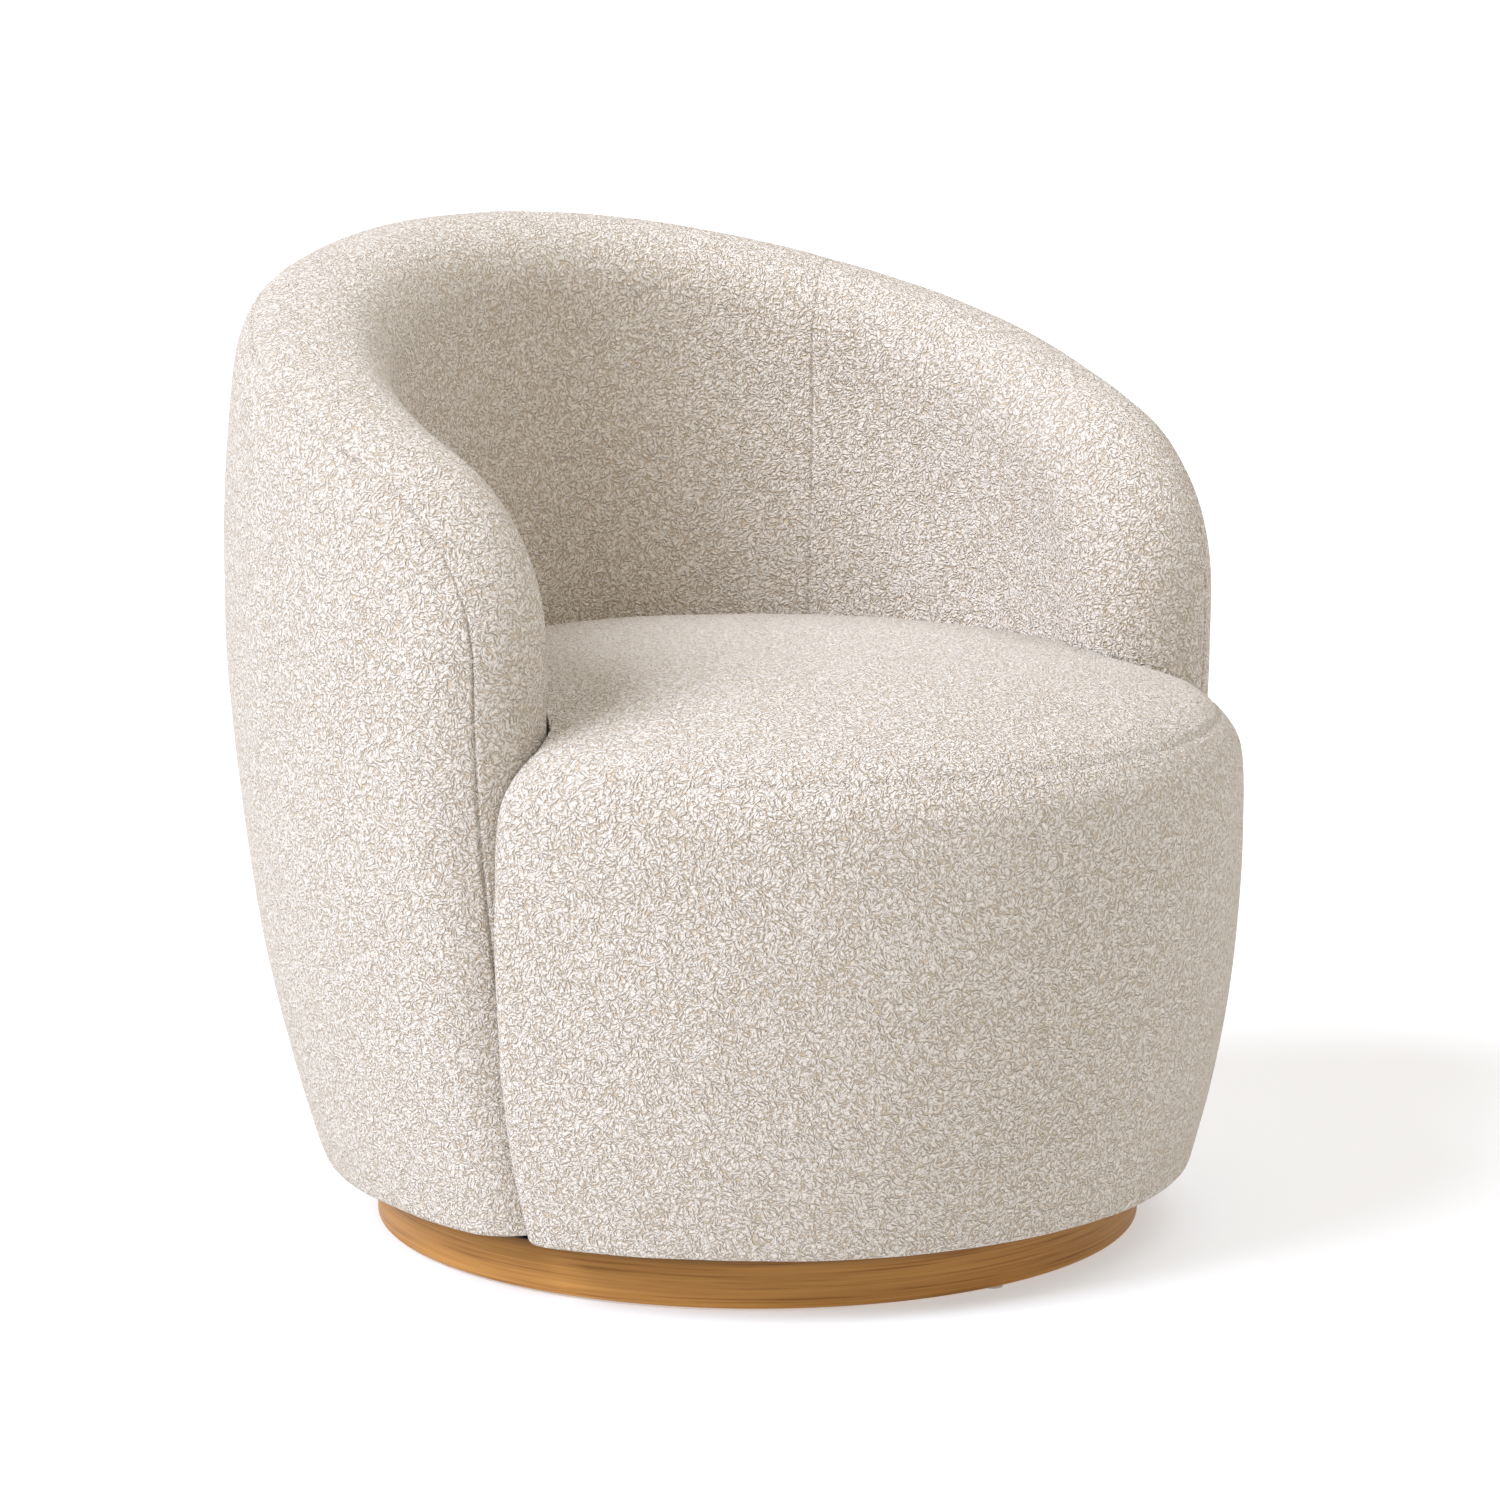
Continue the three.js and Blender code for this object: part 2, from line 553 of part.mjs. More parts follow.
function addSeatUpholstery() {
  place('seat_foam', slice(seatBlock(COVER + GAP), PAD_TOP_Z + GAP), foam());
  const cap = seatBlock(0).subtract(seatBlock(COVER));
  place('seat_top_cover', slice(cap, SEAT_SEAM_Z + GAP / 2), boucle());
  const behind = tongue(-COVER - GAP);
  const band = slice(seatFront(0).subtract(seatFront(COVER)), SKIRT_Z, SEAT_SEAM_Z - GAP / 2);
  place('seat_front_cover', aroundBoard(band.subtract(behind)), boucle());
  const foamIn = COVER + GAP + FRONT_FOAM;
  const front = seatFront(COVER + GAP).subtract(seatFront(foamIn)).subtract(behind);
  place('seat_front_foam', slice(front, BOARD_TOP_Z + GAP, PAD_BOTTOM_Z - GAP), foam());
  const panel = seatFront(foamIn + GAP).subtract(seatFront(foamIn + GAP + PANEL)).subtract(behind);
  place('seat_front_panel', slice(panel, BOARD_TOP_Z + GAP, SEAT_RAIL_TOP_Z), plywood());
}

function addShellUpholstery() {
  const outside = slice(wall(0, COVER, SEAM_DROP), SKIRT_Z);
  for (const [side, sign] of CHAIR_SIDES) {
    place(`outside_cover_${side}`, halfOf(outside, sign, GAP / 2), boucle());
  }
  const panel = wall(PANEL_INSET, PANEL_INSET + PANEL, SEAM_DROP);
  place('outside_panel', slice(panel, BOARD_TOP_Z + GAP), plywood());

  const aboveRail = wall(-RIM_RADIUS, FRAME_INNER + GAP, RAIL_TOP_DROP - GAP);
  const roll = rimTube(RIM_RADIUS - COVER - GAP).subtract(aboveRail).subtract(underRim(RIM_RADIUS));
  place('rim_roll', slice(roll, BOARD_TOP_Z + GAP), foam());
  const inner = wall(FRAME_INNER + GAP, WALL - COVER - GAP, RIM_RADIUS + GAP);
  place('inside_foam', slice(inner, FOAM_FROM_Z), foam());
  addRimCover();
  addInsideCovers();
}

// The cloth over the rim and down the arm fronts, from the outer seam to the inner faces.
function addRimCover() {
  const outboard = wall(-RIM_RADIUS, RIM_RADIUS, SEAM_DROP - GAP);
  const shell = rimTube(RIM_RADIUS).subtract(rimTube(RIM_RADIUS - COVER));
  const cap = shell.subtract(outboard).subtract(underRim(RIM_RADIUS));
  place('rim_cover', aroundBoard(slice(cap, SKIRT_Z)), boucle());
}

function addInsideCovers() {
  const lining = slice(wall(WALL - COVER, WALL, RIM_RADIUS + GAP), FOAM_FROM_Z);
  const reach = BACK_SEAM_ANGLE + GAP / DRUM_RADIUS;
  place('inside_cover_back', lining.intersect(wedge(-BACK_SEAM_ANGLE, BACK_SEAM_ANGLE)), boucle());
  for (const [side, sign] of CHAIR_SIDES) {
    place(`inside_cover_${side}`, halfOf(lining.subtract(wedge(-reach, reach)), sign), boucle());
  }
}

addPlinth();
addBearing();
addPivot();
addBottomBoard();
addShellFrame();
addSeatFrame();
addSprings();
addSeatUpholstery();
addShellUpholstery();

export default chair;
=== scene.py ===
"""Looks of the swivel tub armchair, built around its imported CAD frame.

Metres, +Z up. The origin is on the floor under the plinth's centre, and the chair faces -Y.
Angles round the drum are measured from +Y (the back) towards +X.
"""

import json
import math

import bmesh
import bpy
import numpy as np
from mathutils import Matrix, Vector
from mathutils.kdtree import KDTree


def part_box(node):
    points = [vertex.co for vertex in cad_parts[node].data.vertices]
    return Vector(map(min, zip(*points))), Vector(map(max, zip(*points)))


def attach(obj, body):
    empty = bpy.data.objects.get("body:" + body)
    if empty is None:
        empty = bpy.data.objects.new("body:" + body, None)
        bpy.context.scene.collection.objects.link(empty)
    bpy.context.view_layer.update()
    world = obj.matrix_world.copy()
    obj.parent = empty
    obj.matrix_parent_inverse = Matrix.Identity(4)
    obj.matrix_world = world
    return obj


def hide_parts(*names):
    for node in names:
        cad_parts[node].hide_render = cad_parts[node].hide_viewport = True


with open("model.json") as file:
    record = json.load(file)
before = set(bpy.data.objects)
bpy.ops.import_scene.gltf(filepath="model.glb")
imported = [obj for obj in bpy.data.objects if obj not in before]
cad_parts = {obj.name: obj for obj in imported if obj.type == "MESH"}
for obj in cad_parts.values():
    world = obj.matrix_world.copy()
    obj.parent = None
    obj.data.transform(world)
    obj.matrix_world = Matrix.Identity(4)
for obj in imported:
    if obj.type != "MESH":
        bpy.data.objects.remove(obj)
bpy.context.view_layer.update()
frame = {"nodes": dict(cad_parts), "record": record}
scene = bpy.context.scene

# ---- driving dimensions ------------------------------------------------------------
# Drum: a barrel whose radius follows an ellipse arc, leaning back a little as it rises.
DRUM_RADIUS = 0.390
DRUM_WIDEST_Z = 0.454
DRUM_HALF_HEIGHT = 0.769
DRUM_LEAN = 0.05
DRUM_FOOT_Z = 0.05

# Rim in side view: a straight slope, a round corner, then the arm front.
RIM_HEIGHT_AT_AXIS = 0.6237
RIM_SLOPE = 0.38
RIM_CORNER = 0.158
ARM_FRONT_Y = -0.130
ARM_FRONT_LEAN = -0.01
WALL = 0.120
RIM_RADIUS = WALL / 2
RIM_FULLNESS = 1.4
RIM_FULL_TO = math.radians(62)
RIM_ROUND_FROM = math.radians(100)

# Seams of the shell: round the rim, and down the inside of the back.
OUTER_SEAM_TURN = math.radians(45)
OUTER_SEAM_TURN_AT_FOOT = math.radians(60)
BACK_SEAM_AT_RIM = math.radians(51)
BACK_SEAM_SWAY = 0.017
BACK_SEAM_SWAY_REACH = 0.08
BACK_SEAM_AT_FOOT = math.radians(43.5)

# Seat block.
SEAT_RADIUS = 0.3685
SEAT_WIDEST_Z = 0.300
SEAT_LOWER_HALF = 0.592
SEAT_SHOULDER_DROP = 0.015
SEAT_SHOULDER_POWER = 5
SEAT_SEAM_Z = 0.395
SEAT_CROWN_Z = 0.440
SEAT_DOME_POWER = 3.2
SEAT_CLEARANCE = 0.0003
WING_CORNER = 0.015
WING_CORNER_AT_FOOT = 0.012
FRONT_SHOULDER = 0.026
SIDE_SHOULDER = 0.004

# The covers' lower edge, turned under the bottom board. The rounding is tighter near the gaps
# between the arms and the seat, from GAP_ROUND_FROM radians off.
SKIRT_LIFT = 0.0005
SKIRT_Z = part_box("dust_cloth")[0].z + SKIRT_LIFT
SKIRT_ROUND = 0.009
GAP_ROUND = 0.003
GAP_ROUND_FROM = 0.5
HEM = 0.013
HEM_LIFT = 0.023

# Wooden rings.
JOINT = 0.0003
BOARD_EDGE = 0.3105
BOARD_BORE = 0.020
BOARD_EASE = 0.0005
PLINTH_RADIUS = 0.293
PLINTH_EASE = 0.0022
RING_EDGE_STEPS = 5
RING_SIDES = 256

# Mesh spacing before the last subdivision, and how near points are sewn together.
SPACING = 0.0085
SEWN = 2e-5

# Samples along the rim: up the slope, round the corner, down the arm front. The slope's heights
# settle in HEIGHT_ROUNDS, and directions on the rim are taken over the two short steps.
SLOPE_SAMPLES = 160
CORNER_SAMPLES = 60
FRONT_SAMPLES = 140
HEIGHT_ROUNDS = 8
TANGENT_STEP = 0.004
TANGENT_ANGLE = 0.01


def eased(start, change, share):
    """Goes from start by change as share goes from 0 to 1, slowly at both ends."""
    return start + change * share * share * (3 - 2 * share)


def unit(v):
    return v / np.linalg.norm(v, axis=-1, keepdims=True)


def share_of(line):
    """How far along the line each of its points is, from 0 to 1."""
    steps = np.linalg.norm(np.diff(line, axis=0), axis=1)
    lengths = np.concatenate([[0], np.cumsum(steps)])
    return lengths / lengths[-1]


# ---- the drum ----------------------------------------------------------------------
def drum_radius(z):
    """The outer face's radius at a height."""
    return DRUM_RADIUS * np.sqrt(1 - ((z - DRUM_WIDEST_Z) / DRUM_HALF_HEIGHT) ** 2)


def drum_centre(z):
    """How far back the drum's axis has leant at a height."""
    return DRUM_LEAN * (z - DRUM_FOOT_Z)


def skirt_inset(z, rounding=GAP_ROUND):
    """How far a cover pulls in where it rounds under the chair."""
    below = np.clip(SKIRT_Z + rounding - z, 0, rounding)
    return rounding - np.sqrt(rounding**2 - below**2)


def skirt_round(angle):
    """The rounding's radius: wide round the back, tight where an arm meets the seat."""
    near = np.clip((np.abs(angle) - RIM_FOOT_ANGLE + GAP_ROUND_FROM) / GAP_ROUND_FROM, 0, 1)
    return eased(SKIRT_ROUND, GAP_ROUND - SKIRT_ROUND, near)


def on_wall(angle, z, inset):
    """Points that lie that far inside the drum's outer face."""
    angle, z = np.asarray(angle, float), np.asarray(z, float)
    radius = drum_radius(z) - inset
    return np.stack([radius * np.sin(angle), drum_centre(z) + radius * np.cos(angle), z], -1)


def rim_layout():
    """The rim's centre line in side view: the direction down the front, and the corner's arc."""
    slope = unit(np.array([-1.0, -RIM_SLOPE]))
    down = unit(np.array([-ARM_FRONT_LEAN, -1.0]))
    slope_in = np.array([-slope[1], slope[0]])
    front_in = np.array([-down[1], down[0]])
    a = np.array([0, RIM_HEIGHT_AT_AXIS]) + RIM_RADIUS * slope_in
    b = np.array([ARM_FRONT_Y, 0]) + RIM_RADIUS * front_in
    cross = slope[0] * down[1] - slope[1] * down[0]
    to_b = b - a
    corner = a + slope * (to_b[0] * down[1] - to_b[1] * down[0]) / cross
    radius = RIM_CORNER - RIM_RADIUS
    reach = radius * math.tan(math.acos(slope @ down) / 2)
    start, end = corner - slope * reach, corner + down * reach
    return down, start, end, start + slope_in * radius, radius


def rim_samples():
    """Angles and heights along the rim's centre line, from the back's middle to an arm's foot.

    The last value is the number of the sample in the middle of the corner.
    """
    down, start, end, centre, radius = rim_layout()
    reach = drum_radius(start[1]) - RIM_RADIUS
    last = math.acos((start[0] - drum_centre(start[1])) / reach)
    angles = list(np.linspace(0, last, SLOPE_SAMPLES))
    heights = []
    for angle in angles:
        z = start[1]
        for _ in range(HEIGHT_ROUNDS):
            y = drum_centre(z) + (drum_radius(z) - RIM_RADIUS) * math.cos(angle)
            z = start[1] + RIM_SLOPE * (y - start[0])
        heights.append(z)
    turns = [math.atan2(p[1] - centre[1], p[0] - centre[0]) % (2 * math.pi) for p in (start, end)]
    turns = np.linspace(*turns, CORNER_SAMPLES)[1:]
    corner = [centre + radius * np.array([math.cos(t), math.sin(t)]) for t in turns]
    foot = (end[1] - SKIRT_Z) / -down[1]
    front = [end + down * t for t in np.linspace(0, foot, FRONT_SAMPLES)[1:]]
    for y, z in corner + front:
        reach = drum_radius(z) - RIM_RADIUS
        angles.append(math.acos(np.clip((y - drum_centre(z)) / reach, -1, 1)))
        heights.append(z)
    corner_mid = len(corner) // 2 + SLOPE_SAMPLES - 1
    return np.array(angles), np.array(heights), corner_mid


RIM_ANGLES, RIM_HEIGHTS, CORNER_INDEX = rim_samples()
RIM_FOOT_ANGLE = RIM_ANGLES[-1]
RIM_POINTS = on_wall(RIM_ANGLES, RIM_HEIGHTS, RIM_RADIUS)
RIM_STEPS = np.linalg.norm(np.diff(RIM_POINTS, axis=0), axis=1)
RIM_LENGTHS = np.concatenate([[0], np.cumsum(RIM_STEPS)])
RIM_END = RIM_LENGTHS[-1]
CORNER_AT = RIM_LENGTHS[CORNER_INDEX]
ON_SLOPE = slice(SLOPE_SAMPLES)
BACK_SEAM_AT = float(np.interp(BACK_SEAM_AT_RIM, RIM_ANGLES[ON_SLOPE], RIM_LENGTHS[ON_SLOPE]))


def rim_at(s):
    """(angle, z) at lengths along the rim, measured from the back's middle, + towards +X."""
    side = np.sign(s)
    angle = side * np.interp(np.abs(s), RIM_LENGTHS, RIM_ANGLES)
    return angle, np.interp(np.abs(s), RIM_LENGTHS, RIM_HEIGHTS)


def seam_turn(s):
    """Where the outer seam runs on the rim: it closes on the seat down the arm front."""
    down = np.clip((np.abs(s) - CORNER_AT) / (RIM_END - CORNER_AT), 0, 1)
    return OUTER_SEAM_TURN + (OUTER_SEAM_TURN_AT_FOOT - OUTER_SEAM_TURN) * down


def rim_fullness(angle, turn):
    """How far the rim's outer shoulder swells round the back, as a share of its radius."""
    fade = np.clip((RIM_ROUND_FROM - np.abs(angle)) / (RIM_ROUND_FROM - RIM_FULL_TO), 0, 1)
    power = eased(2, RIM_FULLNESS, fade)
    power = np.where(turn < math.pi / 2, power, 2.0)
    return (np.abs(np.cos(turn)) ** power + np.abs(np.sin(turn)) ** power) ** (-1 / power)


def rim_surface(s, turn):
    """The rounded rim: turn 0 is the drum's outer face, pi its inner face.

    The outer seam lies at the constant OUTER_SEAM_TURN, which is bent to its real place here.
    """
    s = np.asarray(s, float)
    off_seam = (np.abs(s) - BACK_SEAM_AT) / BACK_SEAM_SWAY_REACH
    sway = BACK_SEAM_SWAY * np.exp(-(off_seam**2))
    s = s - np.sign(s) * sway * np.sin(turn)
    angle, z = rim_at(s)
    seam = seam_turn(s)
    before = turn * seam / OUTER_SEAM_TURN
    after = math.pi - (math.pi - turn) * (math.pi - seam) / (math.pi - OUTER_SEAM_TURN)
    turn = np.where(turn < OUTER_SEAM_TURN, before, after)
    centre = on_wall(angle, z, RIM_RADIUS)
    step, twist = TANGENT_STEP, TANGENT_ANGLE
    tangent = unit(
        on_wall(*rim_at(np.clip(s + step, -RIM_END, RIM_END)), RIM_RADIUS)
        - on_wall(*rim_at(np.clip(s - step, -RIM_END, RIM_END)), RIM_RADIUS)
    )
    around = on_wall(angle + twist, z, RIM_RADIUS) - on_wall(angle - twist, z, RIM_RADIUS)
    rise = on_wall(angle, z + step, RIM_RADIUS) - on_wall(angle, z - step, RIM_RADIUS)
    normal = unit(np.cross(rise, around))
    outward = unit(np.cross(tangent, normal))
    radial = np.stack([np.sin(angle), np.cos(angle), np.zeros_like(angle)], -1)
    outside = np.cos(turn) ** 2
    rounding = skirt_inset(z, skirt_round(angle)) * outside + skirt_inset(z) * (1 - outside)
    size = ((RIM_RADIUS - rounding) * rim_fullness(angle, turn))[..., None]
    turn = turn[..., None]
    return centre + size * (np.cos(turn) * radial + np.sin(turn) * outward)


# ---- grids -------------------------------------------------------------------------
FINE_STEPS = (0.0012, 0.003, 0.0058)


def spread(start, end, spacing=SPACING, fine_start=False, fine_end=False):
    """Values from start to end, evenly spaced, with finer steps at the ends that ask for it."""
    length = end - start
    head = [f for f in FINE_STEPS if fine_start]
    tail = [f for f in FINE_STEPS if fine_end]
    first = head[-1] if head else 0
    last = length - (tail[-1] if tail else 0)
    count = max(1, round((last - first) / spacing))
    inner = list(np.linspace(first, last, count + 1))
    before = [0] + head[:-1] if head else []
    after = [length - f for f in reversed(tail[:-1])] + [length] if tail else []
    return start + np.array(before + inner + after)


def coons(bottom, top, left, right):
    """Fills a patch from its four edges: rows run from bottom to top, columns left to right."""
    v_left, v_right = share_of(left), share_of(right)
    u_low, u_high = share_of(bottom), share_of(top)
    v_mean, u_mean = (v_left + v_right) / 2, (u_low + u_high) / 2
    u = u_low + (u_high - u_low) * v_mean[:, None]
    v = v_left[:, None] + (v_right - v_left)[:, None] * u_mean[None, :]
    u, v = u[..., None], v[..., None]
    ruled_v = (1 - v) * bottom[None] + v * top[None]
    ruled_u = (1 - u) * left[:, None] + u * right[:, None]
    corners = (
        (1 - u) * (1 - v) * bottom[0]
        + u * (1 - v) * bottom[-1]
        + (1 - u) * v * top[0]
        + u * v * top[-1]
    )
    return ruled_v + ruled_u - corners


class Skin:
    """Grids of points that are sewn into one closed mesh."""

    def __init__(self):
        self.points, self.faces, self.count = [], [], 0

    def add(self, grid):
        """Adds a grid of points, rows by columns, as quads."""
        rows, columns = grid.shape[:2]
        index = np.arange(rows * columns).reshape(rows, columns) + self.count
        quads = [index[:-1, :-1], index[:-1, 1:], index[1:, 1:], index[1:, :-1]]
        self.faces.append(np.stack(quads, -1).reshape(-1, 4))
        self.points.append(grid.reshape(-1, 3))
        self.count += rows * columns

    def build(self, name):
        mesh = bpy.data.meshes.new(name)
        faces = np.concatenate(self.faces).tolist()
        mesh.from_pydata(np.concatenate(self.points).tolist(), [], faces)
        bm = bmesh.new()
        bm.from_mesh(mesh)
        bmesh.ops.remove_doubles(bm, verts=bm.verts, dist=SEWN)
        bmesh.ops.recalc_face_normals(bm, faces=bm.faces)
        bm.to_mesh(mesh)
        bm.free()
        obj = bpy.data.objects.new(name, mesh)
        scene.collection.objects.link(obj)
        return obj


# ---- the shell's cover -------------------------------------------------------------
def sign_pairs(grid, side):
    """A patch of (angle, z) pairs for the +X side, or its mirror image."""
    return grid if side > 0 else grid * np.array([-1.0, 1.0])


def shell_lengths():
    """Lengths along one half of the rim: to the back seam, to the corner, to the foot."""
    to_seam = spread(0, BACK_SEAM_AT, fine_start=True, fine_end=True)
    to_corner = spread(BACK_SEAM_AT, CORNER_AT, fine_start=True)
    to_foot = spread(CORNER_AT, RIM_END, fine_end=True)
    return to_seam, to_corner, to_foot


def rim_turns():
    """Turns across the rim: out to the outer seam, and from it to the inner face."""
    seam = OUTER_SEAM_TURN
    before = spread(0, seam * RIM_RADIUS, fine_end=True) / RIM_RADIUS
    after = spread(seam * RIM_RADIUS, math.pi * RIM_RADIUS, fine_start=True) / RIM_RADIUS
    return before, after


def pairs(s):
    """(angle, z) pairs at lengths along the rim."""
    return np.stack(rim_at(np.asarray(s, float)), -1)


def straight(start, end, share):
    """Points at shares of the straight line from start to end."""
    start, end = np.asarray(start, float), np.asarray(end, float)
    return start + (end - start) * np.asarray(share)[:, None]


def add_shell(skin):
    to_seam, to_corner, to_foot = shell_lengths()
    side_line = pairs(to_foot[::-1])
    rows = share_of(side_line)
    foot_angle = side_line[0][0]
    top_half = np.concatenate([to_seam, to_corner[1:]])
    top_line, arm_top, seam_top = pairs(top_half), pairs(to_corner), pairs(to_seam)
    seam_foot = [BACK_SEAM_AT_FOOT, SKIRT_Z]
    middle = straight([0, SKIRT_Z], top_line[0], rows)
    seam_line = straight(seam_foot, arm_top[0], rows)
    low = np.stack([share_of(top_line) * foot_angle, np.full(len(top_line), SKIRT_Z)], -1)
    low_arm = straight(seam_foot, side_line[0], share_of(arm_top))
    low_back = straight([0, SKIRT_Z], seam_foot, share_of(seam_top))
    outer_half = coons(low, top_line, middle, side_line)
    arm_half = coons(low_arm, arm_top, seam_line, side_line)
    back_half = coons(low_back, seam_top, middle, seam_line)
    inner_half = np.concatenate([back_half, arm_half[:, 1:]], axis=1)
    bottoms = {}
    for side in (-1, 1):
        angle, z = np.moveaxis(sign_pairs(outer_half, side), -1, 0)
        outer = on_wall(angle, z, skirt_inset(z, skirt_round(angle)))
        skin.add(outer)
        angle, z = np.moveaxis(sign_pairs(inner_half, side), -1, 0)
        inner = on_wall(angle, z, WALL - skirt_inset(z, skirt_round(angle)))
        skin.add(inner)
        bottoms[side] = (outer[0], inner[0])

    before, after = rim_turns()
    turns = np.concatenate([before, after[1:]])
    half = np.concatenate([top_half, to_foot[1:]])
    lengths = np.concatenate([-half[:0:-1], half])
    skin.add(rim_surface(*np.meshgrid(lengths, turns)))

    across = (1 - np.cos(turns)) / 2
    for side in (-1, 1):
        low_out, low_in = bottoms[side]
        band = low_out[None] + (low_in - low_out)[None] * across[:, None, None]
        band[:, -1] = rim_surface(np.full(len(turns), side * RIM_END), turns)
        skin.add(band)


# Seam depths, and the spacing of the points along a seam.
DEEP_SEAM = 0.0022
FAINT_SEAM = 0.0013
SEAT_SEAM = 0.0021
SEAM_STEP = 0.001
SEAM_TURN_STEP = 0.016
BACK_SEAM_POINTS = 700
DEEPER_FROM = 0.9 * CORNER_AT
DEEPER_TO = CORNER_AT + 0.08


def with_depth(line, depth):
    """The line's points with the seam's depth as a fourth value."""
    return np.column_stack([line, np.broadcast_to(depth, len(line))])


def shell_seams():
    """Points a millimetre apart along each of the shell's seams, with the seams' depths."""
    lengths = np.arange(-RIM_END, RIM_END, SEAM_STEP)
    depths = np.interp(np.abs(lengths), [DEEPER_FROM, DEEPER_TO], [FAINT_SEAM, DEEP_SEAM])
    heights = np.arange(SKIRT_Z, pairs([0.0])[0][1], SEAM_STEP)
    turns = np.arange(0, OUTER_SEAM_TURN, SEAM_TURN_STEP)
    lines = [
        with_depth(rim_surface(lengths, np.full(len(lengths), OUTER_SEAM_TURN)), depths),
        with_depth(on_wall(0 * heights, heights, 0), DEEP_SEAM),
        with_depth(rim_surface(0 * turns, turns), DEEP_SEAM),
    ]
    turns = np.arange(OUTER_SEAM_TURN, math.pi, SEAM_TURN_STEP)
    share = np.linspace(0, 1, BACK_SEAM_POINTS)
    line = straight([BACK_SEAM_AT_FOOT, SKIRT_Z], pairs([BACK_SEAM_AT])[0], share)
    for side in (-1, 1):
        on_rim = rim_surface(np.full(len(turns), side * BACK_SEAM_AT), turns)
        lines.append(with_depth(on_wall(side * line[:, 0], line[:, 1], WALL), FAINT_SEAM))
        lines.append(with_depth(on_rim, FAINT_SEAM))
    return np.concatenate(lines)


# ---- the seat's cover --------------------------------------------------------------
def seat_radius(z):
    """The seat block's barrel front: widest at SEAT_WIDEST_Z, easing in to the top seam."""
    z = np.asarray(z, float)
    below = np.clip((SEAT_WIDEST_Z - z) / SEAT_LOWER_HALF, 0, 1)
    above = np.clip((z - SEAT_WIDEST_Z) / (SEAT_SEAM_Z - SEAT_WIDEST_Z), 0, None)
    return SEAT_RADIUS * np.sqrt(1 - below**2) - SEAT_SHOULDER_DROP * above**SEAT_SHOULDER_POWER


def seat_dome(r):
    """The top's height at a distance from the axis."""
    edge = seat_radius(SEAT_SEAM_Z)
    drop = (SEAT_CROWN_Z - SEAT_SEAM_Z) * (r / edge) ** SEAT_DOME_POWER
    return SEAT_CROWN_Z - drop


def arc(centre, radius, start, end, share):
    """Points at shares of a flat arc."""
    t = start + (end - start) * share
    return np.stack([centre[0] + radius * np.cos(t), centre[1] + radius * np.sin(t)], -1)


def seat_outline(z, shares, inset):
    """Plan of the +X half at one height, from the front's middle to the back's middle.

    It runs round the front, over the wing's corner, round the arm's rounded end, and along
    the tub's inner face. shares says where the points lie on each of those four arcs.
    """
    front_share, corner_share, arm_share, tub_share = shares
    tub = np.array([0.0, drum_centre(z)])
    middle = drum_radius(z) - RIM_RADIUS
    arm_y = ARM_FRONT_Y + ARM_FRONT_LEAN * z + RIM_RADIUS
    arm = np.array([math.sqrt(middle**2 - (arm_y - tub[1]) ** 2), arm_y])
    outer = float(seat_radius(z)) - inset
    hollow = RIM_RADIUS + SEAT_CLEARANCE + inset
    corner = float(np.interp(z, [SKIRT_Z, SEAT_WIDEST_Z], [WING_CORNER_AT_FOOT, WING_CORNER]))
    far, near, apart = outer - corner, hollow + corner, np.linalg.norm(arm)
    along = (far**2 - near**2 + apart**2) / (2 * apart)
    off = math.sqrt(max(far**2 - along**2, 0))
    u = arm / apart
    wing = u * along + np.array([u[1], -u[0]]) * off
    start = math.atan2(wing[1], wing[0])
    to_arm = math.atan2(*(arm - wing)[::-1])
    to_wing = to_arm + math.pi
    to_tub = math.atan2(*(tub - arm)[::-1])
    while to_wing < to_tub:
        to_wing += 2 * math.pi
    tub_start = math.atan2(*(arm - tub)[::-1])
    tub_radius = middle - hollow
    return [
        arc((0, 0), outer, -math.pi / 2, start, front_share),
        arc(wing, corner, start, to_arm, corner_share),
        arc(arm, hollow, to_wing, to_tub, arm_share),
        arc(tub, tub_radius, tub_start, math.pi / 2, tub_share),
    ]


# Steps along the outline. The patch's corners lie in the middle of the wing's corner and at
# TUB_CUT steps along the tub, so that opposite edges of the patch have as many steps.
CORNER_CUT = 5
FRONT_STEPS = 61
ARM_STEPS = 16
TUB_CUT = 20
TUB_SPLIT = 0.38
FRONT_SHARE = np.linspace(0, 1, FRONT_STEPS + 1)
CORNER_SHARE = np.linspace(0, 1, 2 * CORNER_CUT + 1)
ARM_SHARE = np.linspace(0, 1, ARM_STEPS + 1)
TUB_SHARE = np.concatenate([
    np.linspace(0, TUB_SPLIT, TUB_CUT + 1),
    np.linspace(TUB_SPLIT, 1, FRONT_STEPS + CORNER_CUT + 1)[1:],
])
OUTLINE_SHARES = (FRONT_SHARE, CORNER_SHARE, ARM_SHARE, TUB_SHARE)


def seat_edges(z, inset=0.0):
    """The outline as the four edges of a patch: front, right side, back, left side."""
    front, corner, arm, tub = seat_outline(z, OUTLINE_SHARES, inset)
    half_front = np.concatenate([front, corner[1 : CORNER_CUT + 1]])
    side = np.concatenate([corner[CORNER_CUT:], arm[1:], tub[1 : TUB_CUT + 1]])
    half_back = tub[TUB_CUT:]
    mirror = np.array([-1.0, 1.0])
    front_edge = np.concatenate([(half_front * mirror)[:0:-1], half_front])
    back_edge = np.concatenate([(half_back * mirror), half_back[::-1][1:]])
    return front_edge, side, back_edge, side * mirror


def loop_of(edges):
    """The four edges of a patch joined into one closed loop."""
    front, right, back, left = edges
    return np.concatenate([front[:-1], right[:-1], back[::-1][:-1], left[::-1][:-1]])


